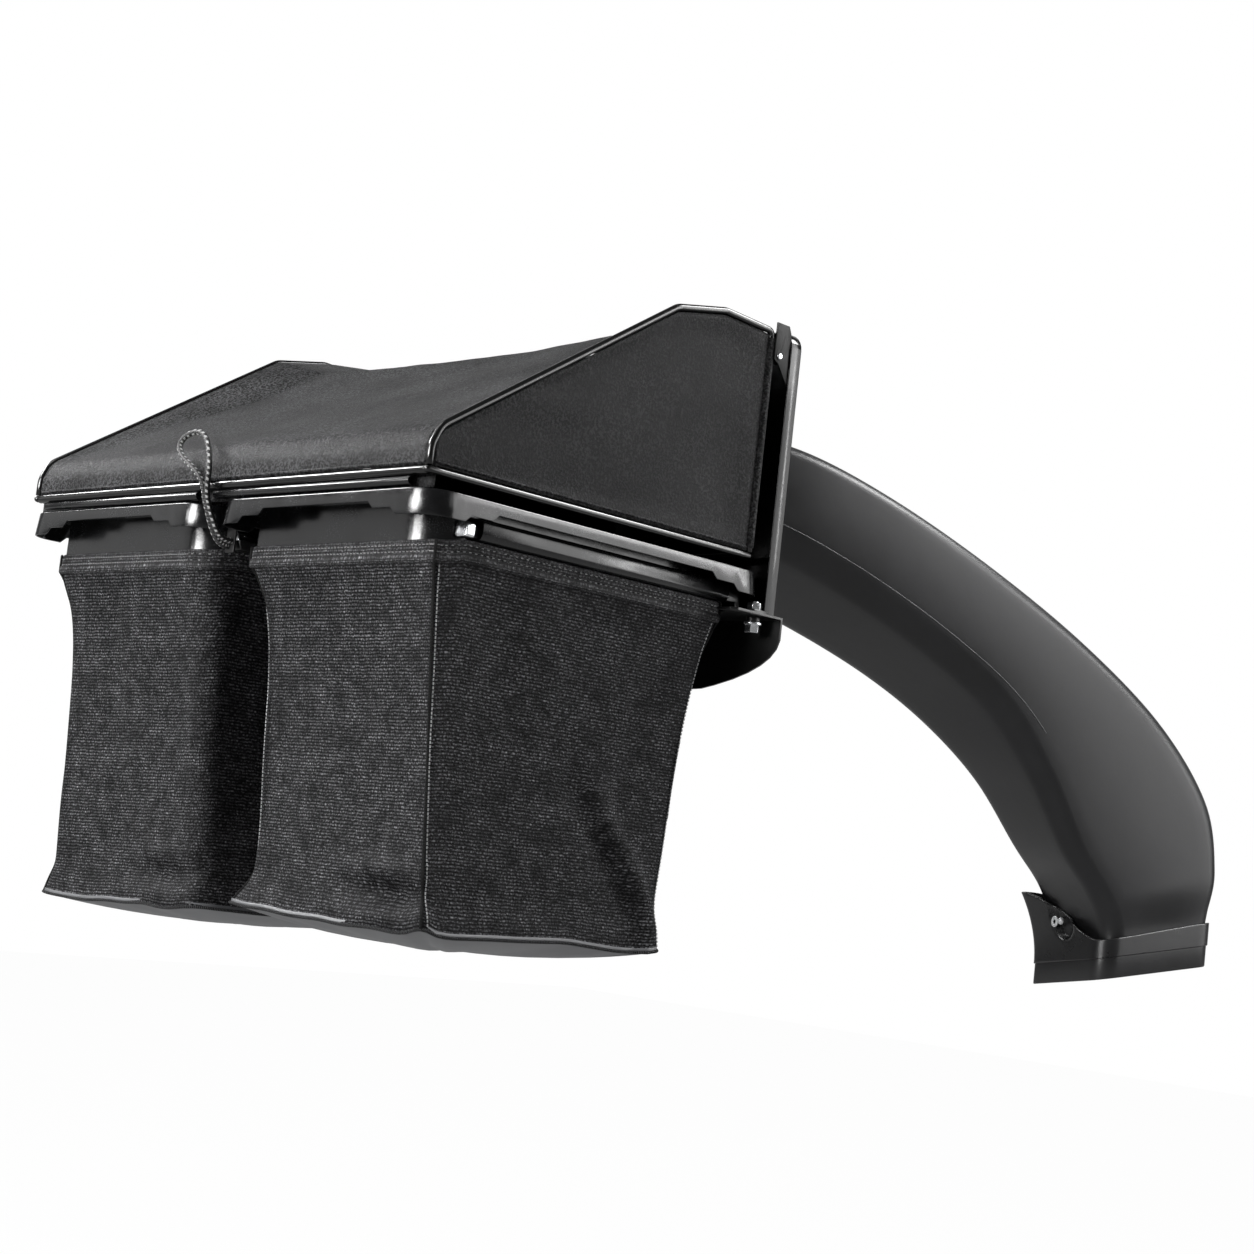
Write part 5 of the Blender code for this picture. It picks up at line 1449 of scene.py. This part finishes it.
@dataclass
class Hood:
    """The soft hood: cloths stretched on side hoops, with rails and snap-on strips."""

    half_width: float = 0.4614
    rear_y: float = -0.655
    front_y: float = -0.050
    base_z: float = 0.142
    rod: float = 0.010
    rail: float = 0.013
    rear_wall: float = 0.030
    lean: float = 0.012
    shoulder: float = 0.057
    ridge_y: float = 0.405
    ridge: float = 0.310
    crown_y: float = 0.500
    crown: float = 0.330
    front: float = 0.3262
    bend: float = 0.036
    cloth: float = 0.002
    sag: float = 0.035
    clear: float = 0.0003
    sleeve: float = 0.0012
    hem: float = 0.0018
    seam: float = 0.0022
    side_hem: float = 0.0020
    flap: float = 0.0015
    flap_drop: float = 0.0205
    strip_edge: float = 0.0005
    columns: int = 96
    rows: int = 110

    @property
    def rod_x(self) -> float:
        """Distance of a hoop's centre from the middle."""
        return self.half_width - self.rod / 2

    def profile(self) -> list[tuple[float, float, float]]:
        """Corners of a hoop in the Y-Z plane, from its rear foot to its front foot.

        Returns:
            The corners, at X = 0.
        """
        rear, front, base = self.rear_y + self.rod / 2, self.front_y - self.rod / 2, self.base_z
        return [(0.0, rear, base + (self.rail + self.rod) / 4 + self.clear),
                (0.0, rear, base + self.rear_wall),
                (0.0, rear + self.lean, base + self.shoulder),
                (0.0, self.rear_y + self.ridge_y, base + self.ridge),
                (0.0, self.rear_y + self.crown_y, base + self.crown),
                (0.0, front, base + self.front),
                (0.0, front, base + self.rod / 2 + self.clear)]

    def hoop_path(self) -> list[Vector]:
        """Bent centre line of a hoop at X = 0.

        Returns:
            The line's points.
        """
        points = self.profile()
        soft = rounded_path(points[:-1], self.bend)[:-1]
        return soft[:-1] + rounded_path([tuple(soft[-1]), points[-2], points[-1]], self.rod)

    def sag_at(self, x: float, y: float) -> float:
        """How far the top cloth hangs below the hoops, with a crease beside each hoop.

        Args:
            x: place across.
            y: place along.

        Returns:
            The sag.
        """
        reach = self.rod_x - self.rod / 2
        along = min(max((y - self.rear_y) / (self.front_y - self.rear_y), 0.0), 1.0)
        band = 0.030 + 0.085 * smooth_step(0.0, 0.75, along)
        edge = min((reach - abs(x)) / band, 1.0)
        across = 0.72 * edge ** 1.1 + 0.28 * (1 - (x / reach) ** 2)
        return self.sag * across * max(0.0, math.sin(math.pi * along ** 1.35))

    def build(self) -> None:
        """Build the whole hood."""
        self.top_cloth()
        for side in Side:
            self.side_frame(side)
            self.side_cloth(side)
        self.rails()
        self.strips()

    def top_cloth(self) -> None:
        """Stretch the rear wall, slope and crown over the hoops."""
        reach = self.rod_x - self.rod / 2 - self.clear
        line = even(rounded_path(self.profile()[:-1], self.bend), self.rows + 1)
        length = sum((b - a).length for a, b in zip(line, line[1:]))
        low = self.base_z + self.rail / 2 + self.clear
        far = self.front_y - self.rod - self.clear

        def place(i: int, j: int) -> Vector:
            """Hang one point of the cloth.

            Args:
                i: its column.
                j: its row.

            Returns:
                The point.
            """
            x = -reach + 2 * reach * i / self.columns
            here = line[j]
            run = (line[min(j + 1, self.rows)] - line[max(j - 1, 0)]).normalized()
            normal = Vector((0.0, -run.z, run.y))
            share = j / self.rows
            still = smooth_step(0.0, 0.10, share) * smooth_step(0.0, 0.06, 1 - abs(x) / reach)
            ripple = noise.noise(Vector((x * 5, share * 4.5, 3.0))) * 0.004
            fine = noise.noise(Vector((x * 17, share * 15, 8.0))) * 0.0012
            point = here + normal * ((ripple + fine) * still - self.sag_at(x, here.y))
            return Vector((x, min(point.y, far), max(point.z, low)))

        sheet = make_piece("cover_top_cloth", shape_grid(self.columns, self.rows, place,
                                                         (2 * reach, length)),
                           COVER_CLOTH, "hood", ("hood_top_cloth",), 75.0)
        thicken(sheet, self.cloth)
        hem = [Vector((x, self.rear_y + self.rod / 2 - 0.0012, low + 0.003))
               for x in (-reach + 0.004, -0.002)]
        seam = [Vector((x, self.rear_y + self.rod / 2 - 0.0012, low + 0.003))
                for x in (0.014, reach - 0.004)]
        parts = [tube(even(hem, 40), self.hem, 8), tube(even(seam, 40), self.seam, 8)]
        make_piece("cover_lower_hem", join(parts), COVER_CLOTH, "hood", (), 75.0)
        flap_y, flap_low = self.rear_y + self.rail + 0.003, self.base_z - self.flap_drop
        flap = shape_grid(60, 4, lambda i, j: Vector((
            -self.rod_x + 2 * self.rod_x * i / 60, flap_y + 0.0006 * math.sin(i * 1.7),
            flap_low + (self.base_z - flap_low) * j / 4)), (2 * self.rod_x, 0.02))
        # The turned-under edge uses the side cloth, painted darker as shade
        thicken(make_piece("turned_under_edge", flap, SIDE_CLOTH_PAINTED_SHADE, "hood", (), 75.0),
                self.flap)

    def side_frame(self, side: Side) -> None:
        """Bend the hoop and lay the lower rod of one side.

        Args:
            side: which side.
        """
        word, x = side.word, side.value * self.rod_x
        hoop = [Vector((x, p.y, p.z)) for p in self.hoop_path()]
        make_piece(f"hoop_{word}", tube(hoop, self.rod / 2, 20, EndShape.FLAT), ROD_COAT, "hood",
                   (f"hood_hoop_{word}",), 60.0)
        rear = self.rear_y + self.rod / 2 - (self.rail - self.rod) / 2
        low = [Vector((x, rear, self.base_z)), Vector((x, self.front_y - self.rod / 2, self.base_z))]
        make_piece(f"lower_rod_{word}", tube(even(low, 30), self.rod / 2, 20), ROD_COAT, "hood",
                   (f"hood_side_rail_{word}",), 60.0)
        front = self.front_y - self.rod / 2
        sleeve = [Vector((x, front, z)) for z in (self.base_z + 0.012, self.base_z + self.front - 0.012)]
        # The sleeve uses the side cloth, painted darker as shade
        make_piece(f"front_sleeve_{word}", tube(even(sleeve, 40), self.rod / 2 + self.sleeve, 16,
                                                EndShape.FLAT), SIDE_CLOTH_PAINTED_SHADE, "hood", (), 60.0)

    def side_cloth(self, side: Side) -> None:
        """Stretch the cloth that fills one hoop, with its hem.

        Args:
            side: which side.
        """
        inset = self.rod / 2 + self.sleeve
        top = [Vector((p.y, p.z)) for p in self.hoop_path()]
        low = self.base_z + inset
        rear, front = self.rear_y + self.rod / 2 + inset, self.front_y - self.rod / 2 - inset
        columns, rows = 70, 44
        crest = [p for p in top if p.y > self.base_z + 0.02]

        def ceiling(y: float) -> float:
            """Height of the hoop's inner edge above a place along Y.

            Args:
                y: the place.

            Returns:
                The height.
            """
            best = low + 0.02
            for a, b in zip(crest, crest[1:]):
                if abs(b.x - a.x) > 1e-6 and min(a.x, b.x) - 1e-4 <= y <= max(a.x, b.x) + 1e-4:
                    slope = (b.y - a.y) / (b.x - a.x)
                    best = max(best, a.y + slope * (y - a.x) - inset * math.hypot(1.0, slope))
            return best

        def place(i: int, j: int) -> Vector:
            """Place one point of the cloth, with its slack.

            Args:
                i: its column.
                j: its row.

            Returns:
                The point.
            """
            y = rear + (front - rear) * (i / columns) ** 1.15
            roof = ceiling(y)
            share = j / rows
            z = low + (roof - low) * share
            held = smooth_step(0.0, 0.16, min(i, columns - i) / columns * 2)
            held *= smooth_step(0.0, 0.2, min(share, 1 - share) * 2)
            slack = noise.noise(Vector((y * 6, z * 6, side.value * 4.0))) * 0.006 - 0.004
            fold = 0.004 * hump(z - low, 0.10 + 0.5 * (y - rear) * 0.2, 0.020) * hump(y, rear + 0.16, 0.09)
            return Vector((side.value * (self.rod_x + (slack + fold) * held), y, z))

        # The side cloth is painted darker than the cover cloth, as shade on the sides
        sheet = make_piece(f"cover_side_cloth_{side.word}",
                           shape_grid(columns, rows, place, (0.58, 0.30)), SIDE_CLOTH_PAINTED_SHADE, "hood",
                           (f"hood_side_cloth_{side.word}",), 75.0)
        thicken(sheet, self.cloth)
        hem = even([Vector((side.value * (self.rod_x + 0.0012), rear + 0.004, low + 0.005)),
                    Vector((side.value * (self.rod_x + 0.0012), front - 0.002, low + 0.005))], 60)
        make_piece(f"side_hem_{side.word}", tube(hem, self.side_hem, 8), COVER_CLOTH, "hood",
                   (), 75.0)

    def rails(self) -> None:
        """Lay the rear and front rails."""
        reach = self.rod_x - self.rod / 2 - self.clear
        y = self.rear_y + self.rail / 2
        left = tube(even([Vector((-reach, y, self.base_z)), Vector((-0.016, y, self.base_z))], 30),
                    self.rail / 2, 20)
        right = tube(even([Vector((0.012, y, self.base_z)), Vector((reach, y, self.base_z))], 30),
                     self.rail / 2, 20)
        core = tube(even([Vector((-0.03, y, self.base_z)), Vector((0.03, y, self.base_z))], 8),
                    self.rail * 0.36, 16)
        make_piece("rear_rail", join([left, right, core]), ROD_COAT, "hood",
                   ("hood_rear_rail",), 60.0)
        front = self.front_y - self.rod / 2
        for name, rise in (("upper", self.front - self.rod), ("lower", 0.0)):
            z = self.base_z + rise
            bm = tube(even([Vector((-reach, front, z)), Vector((reach, front, z))], 30),
                      self.rod / 2, 16)
            make_piece(f"front_rail_{name}", bm, ROD_COAT, "hood",
                       (f"hood_front_rail_{name}",), 60.0)

    def strips(self) -> None:
        """Dress the half-round strips below the rear rail."""
        for word in ("left", "right"):
            round_over(f"hood_rear_clip_{word}", RIM_GLOSS, "hood", self.strip_edge)


# Discharge chute

@dataclass
class Chute:
    """The blow-moulded duct, its boot, screw and deck adapter."""

    heading: float = math.radians(22.0)
    start_x: float = 0.350
    start_y: float = -0.015
    width: float = 0.185
    wall: float = 0.003
    corner: float = 0.030
    crown: float = 0.008
    crown_in: tuple[float, float] = (0.02, 0.16)
    crown_out: tuple[float, float] = (0.78, 0.92)
    entry_share: float = 0.18
    top_edge: tuple[tuple[float, float], ...] = (
        (-0.008, 0.348), (0.132, 0.343), (0.295, 0.297), (0.485, 0.218), (0.671, 0.121),
        (0.826, 0.013), (0.926, -0.102), (0.955, -0.208), (0.947, -0.278), (0.941, -0.321))
    low_edge: tuple[tuple[float, float], ...] = (
        (-0.008, 0.211), (0.100, 0.185), (0.250, 0.133), (0.395, 0.066), (0.512, -0.008),
        (0.598, -0.108), (0.664, -0.212), (0.720, -0.275), (0.747, -0.318), (0.751, -0.355))
    left_drop: tuple[tuple[float, float], ...] = (
        (0.000, -0.070), (-0.013, -0.069), (-0.027, -0.055), (-0.033, -0.040), (-0.033, -0.027),
        (-0.016, -0.002), (0.002, 0.008), (0.001, 0.012), (0.004, -0.005), (0.004, -0.018))
    left_top_share: float = 0.6
    stations: int = 90
    line_start: float = 0.03
    line_share: float = 0.47
    line_level: float = -0.31
    line_radius: float = 0.0009
    line_steps: int = 69
    boot_rear: float = 0.735
    boot_length: float = 0.217
    boot_wall: float = 0.0035
    boot_clear: float = 0.001
    boot_seam: float = 0.0003
    boot_lip: float = 0.001
    boot_rows: int = 30
    mouth_z: float = -0.402
    rise_ahead: float = 0.190
    rise_right: float = 0.120
    adapter: float = 0.033
    ledge: float = 0.002
    valley: float = 0.028
    ear: float = 0.114
    front: float = 0.036
    flare: float = 0.026
    rear_left: float = 0.014
    screw_side: float = 0.106
    screw_rise: float = 0.098
    screw_seat: float = 0.0041
    pocket: float = 0.0085
    pocket_wall: float = 0.03
    pocket_reach: float = 0.036
    pocket_half: float = 0.020
    pocket_taper: float = 0.20
    pocket_lean: tuple[float, float] = (0.62, 0.78)
    screw_profile: tuple[tuple[float, float], ...] = (
        (0.0, 0.0), (0.0060, 0.0), (0.0060, 0.0012), (0.0048, 0.0034), (0.0026, 0.0040),
        (0.0022, 0.0024), (0.0, 0.0022))

    def point(self, u: float, side: float, z: float) -> Vector:
        """Turn the chute's own forward, left and height into a place.

        Args:
            u: distance forward along the chute.
            side: distance to the left.
            z: height.

        Returns:
            The place.
        """
        ahead = Vector((math.sin(self.heading), math.cos(self.heading)))
        right = Vector((math.cos(self.heading), -math.sin(self.heading)))
        place = Vector((self.start_x, self.start_y)) + ahead * u - right * side
        return Vector((place.x, place.y, z))

    def edges(self, share: float) -> tuple[Vector, Vector, Vector, Vector]:
        """Lower right, upper right, lower left and upper left corner of a section.

        Args:
            share: 0 at the panel, 1 at the boot.

        Returns:
            The four corners, forward and up.
        """
        low_right = spline(self.low_edge, share)
        top_right = spline(self.top_edge, share)
        drop = spline(self.left_drop, share)
        entry = max(0.0, 1 - share / self.entry_share) ** 2
        drop = drop - Vector((self.width * math.tan(self.heading) * entry, 0.0))
        return (low_right, top_right, low_right + drop,
                top_right + Vector((drop.x, drop.y * self.left_top_share)))

    def on_section(self, share: float, a: float, b: float, height: float) -> Vector:
        """Place a point of the flat section, a to the left and b up from its middle.

        Args:
            share: 0 at the panel, 1 at the boot.
            a: distance to the left.
            b: distance up.
            height: height of the section.

        Returns:
            The point, on a crowned side.
        """
        low_right, top_right, low_left, top_left = self.edges(share)
        up = (b + height / 2) / height
        full = smooth_step(*self.crown_in, share) * (1 - smooth_step(*self.crown_out, share))
        a += self.crown * full * (2 * a / self.width) * (1 - (2 * up - 1) ** 2)
        across = (a + self.width / 2) / self.width
        low = low_right.lerp(low_left, across)
        top = top_right.lerp(top_left, across)
        place = low + (top - low) * up
        return self.point(place.x, across * self.width, place.y)

    def section(self, share: float, grow: float) -> list[Vector]:
        """One rounded section of the duct.

        Args:
            share: 0 at the panel, 1 at the boot.
            grow: how far outside the duct's skin.

        Returns:
            The section's points.
        """
        low_right, top_right, _, _ = self.edges(share)
        height = (top_right - low_right).length
        points = []
        for at in rounded_loop(8, 10):
            radius = self.corner + grow
            a = at.core_x * (self.width / 2 + grow - radius) + radius * at.out_x
            b = at.core_y * (height / 2 + grow - radius) + radius * at.out_y
            points.append(self.on_section(share, a, b, height))
        return points

    def duct(self) -> None:
        """Blow the duct and leave its parting line standing."""
        shares = [i / (self.stations - 1) for i in range(self.stations)]
        rings = [self.section(s, 0.0) for s in shares]
        rings += [self.section(s, -self.wall) for s in reversed(shares)]
        make_piece("blown_duct", loft(rings, closed=True), DUCT_SKIN, "frame",
                   ("discharge_chute",), 50.0)
        line = []
        for i in range(self.line_steps + 1):
            share = self.line_start + self.line_share * i / self.line_steps
            low_right, top_right, _, _ = self.edges(share)
            height = (top_right - low_right).length
            line.append(self.on_section(share, -self.width / 2, height * self.line_level, height))
        make_piece("parting_line", tube(line, self.line_radius, 8), DUCT_SEAM, "frame", (), 75.0)

    def boot_outline(self, grow: float) -> list[tuple[float, float]]:
        """Outline of the boot as forward and side pairs.

        Args:
            grow: how far outside the boot's skin.

        Returns:
            The pairs, once round.
        """
        clear = self.boot_wall + self.boot_clear
        half_side, half_u = self.width / 2 + clear + grow, self.boot_length / 2 + grow
        middle_u = self.boot_rear + self.boot_length / 2
        points = []
        for at in rounded_loop(10, 24):
            tight = (1 + at.core_x) * (1 + at.core_y) / 4
            radius = self.corner + clear + (self.rear_left - self.corner - clear) * tight + grow
            side = at.core_x * (half_side - radius) + radius * at.out_x
            u = at.core_y * (half_u - radius) + radius * at.out_y
            points.append((middle_u - u, self.width / 2 + side))
        return points

    def mouth(self, u: float, side: float) -> float:
        """Height of the adapter's tilted lower rim."""
        return self.mouth_z + self.rise_ahead * (u - self.boot_rear) - self.rise_right * side

    def boot_top(self, u: float, side: float) -> float:
        """Rise of the boot's wavy upper edge above the mouth's plane.

        Args:
            u: place forward.
            side: place to the left.

        Returns:
            The rise.
        """
        ahead = min(max((u - self.boot_rear) / self.boot_length, 0.0), 1.0)
        left = smooth_step(0.0, self.width + 2 * (self.boot_wall + self.boot_clear), side)
        rear = self.valley + (self.ear - self.valley) * left
        return self.adapter + rear + (self.front - rear) * ahead * ahead * (3 - 2 * ahead)

    def boot_ring(self, grow: float, share: float, lift: float = 0.0) -> list[Vector]:
        """Ring of the boot, from its seam at share 0 to its wavy edge at share 1.

        Args:
            grow: how far outside the boot's skin.
            share: share of the way up.
            lift: added height.

        Returns:
            The ring's points.
        """
        full = self.width + 2 * (self.boot_wall + self.boot_clear)
        ring = []
        for u, side in self.boot_outline(grow):
            low = self.adapter + self.boot_seam
            top = self.boot_top(u, side)
            behind = max(0.0, 1 - (u - self.boot_rear) / self.boot_length)
            corner = max(0.0, side / full) ** 3 * behind ** 2
            out = self.flare * share ** 2 * corner
            height = self.mouth(u, side) + low + (top - low) * share + lift
            dent = self.recess(u, side, height)
            ring.append(self.point(u - out + dent, side + out, height))
        return ring

    def recess(self, u: float, side: float, z: float) -> float:
        """Depth of the drop-shaped pocket round the screw, in the boot's rear wall.

        Args:
            u: place forward.
            side: place to the left.
            z: height.

        Returns:
            The depth.
        """
        if u > self.boot_rear + self.pocket_wall:
            return 0.0
        left = side - self.screw_side
        above = z - self.mouth(self.boot_rear, self.screw_side) - self.screw_rise
        lean_side, lean_up = self.pocket_lean
        along = left * lean_side + above * lean_up
        across = left * lean_up - above * lean_side
        reach = self.pocket_half - self.pocket_taper * along
        far = math.hypot(along / self.pocket_reach, across / max(reach, 0.006))
        return self.pocket * (1 - smooth_step(0.70, 0.98, far))

    def boot(self) -> None:
        """Mould the boot with its rounded lip."""
        shares = [j / self.boot_rows for j in range(self.boot_rows + 1)]
        lip = self.boot_lip
        outer = [self.boot_ring(-lip, 0.0)] + [self.boot_ring(0.0, s, lip if s == 0 else 0.0)
                                                for s in shares]
        rings = outer + [self.boot_ring(-lip, 1.0, lip), self.boot_ring(lip - self.boot_wall, 1.0, lip)]
        rings += [self.boot_ring(-self.boot_wall, s) for s in reversed(shares)]
        make_piece("moulded_boot", loft(rings, closed=True), BOOT_SKIN, "frame",
                   ("chute_boot",), 55.0)
        low = -self.ledge
        steps = ((low - 0.002, 0.0), (low - 0.0005, 0.0006), (low, 0.0025), (low, self.adapter),
                 (low - self.boot_wall, self.adapter), (low - self.boot_wall, 0.001))
        rings = [[self.point(u, side, self.mouth(u, side) + rise)
                  for u, side in self.boot_outline(grow)] for grow, rise in steps]
        make_piece("adapter_ring", loft(rings, closed=True), BOOT_SKIN, "frame",
                   ("deck_adapter",), 45.0)

    def screw(self) -> None:
        """Turn the pan-head screw with its cross recess."""
        z = self.mouth(self.boot_rear, self.screw_side) + self.screw_rise
        ahead = Vector((math.sin(self.heading), math.cos(self.heading), 0.0))
        seat = self.boot_rear - self.screw_seat
        bm = bmesh.new()
        points = [bm.verts.new((r, 0.0, h)) for r, h in self.screw_profile]
        lines = [bm.edges.new(pair) for pair in zip(points, points[1:])]
        bmesh.ops.spin(bm, geom=points + lines, cent=(0, 0, 0), axis=(0, 0, 1), dvec=(0, 0, 0),
                       angle=math.tau, steps=28, use_merge=True, use_duplicate=False)
        turn = (-ahead).to_track_quat("Z", "Y").to_matrix().to_4x4()
        bmesh.ops.transform(bm, matrix=Matrix.Translation(self.point(seat, self.screw_side, z)) @ turn,
                            verts=bm.verts)
        make_piece("pan_head_screw", weld(bm), SATIN_ZINC, "frame", ("boot_screw",), 40.0)

    def build(self) -> None:
        """Build the chute from duct to adapter."""
        self.duct()
        self.boot()
        self.screw()


def main() -> None:
    """Build the studio, then the catcher, piece by piece."""
    logging.basicConfig(level=logging.INFO, format="%(message)s")
    Studio().build()
    PullCord().build()
    for side in Side:
        BagRim(side).build()
        MeshBag(side).build()
    HitchAndPanel().build()
    Hood().build()
    Chute().build()


if __name__ == "__main__":
    main()
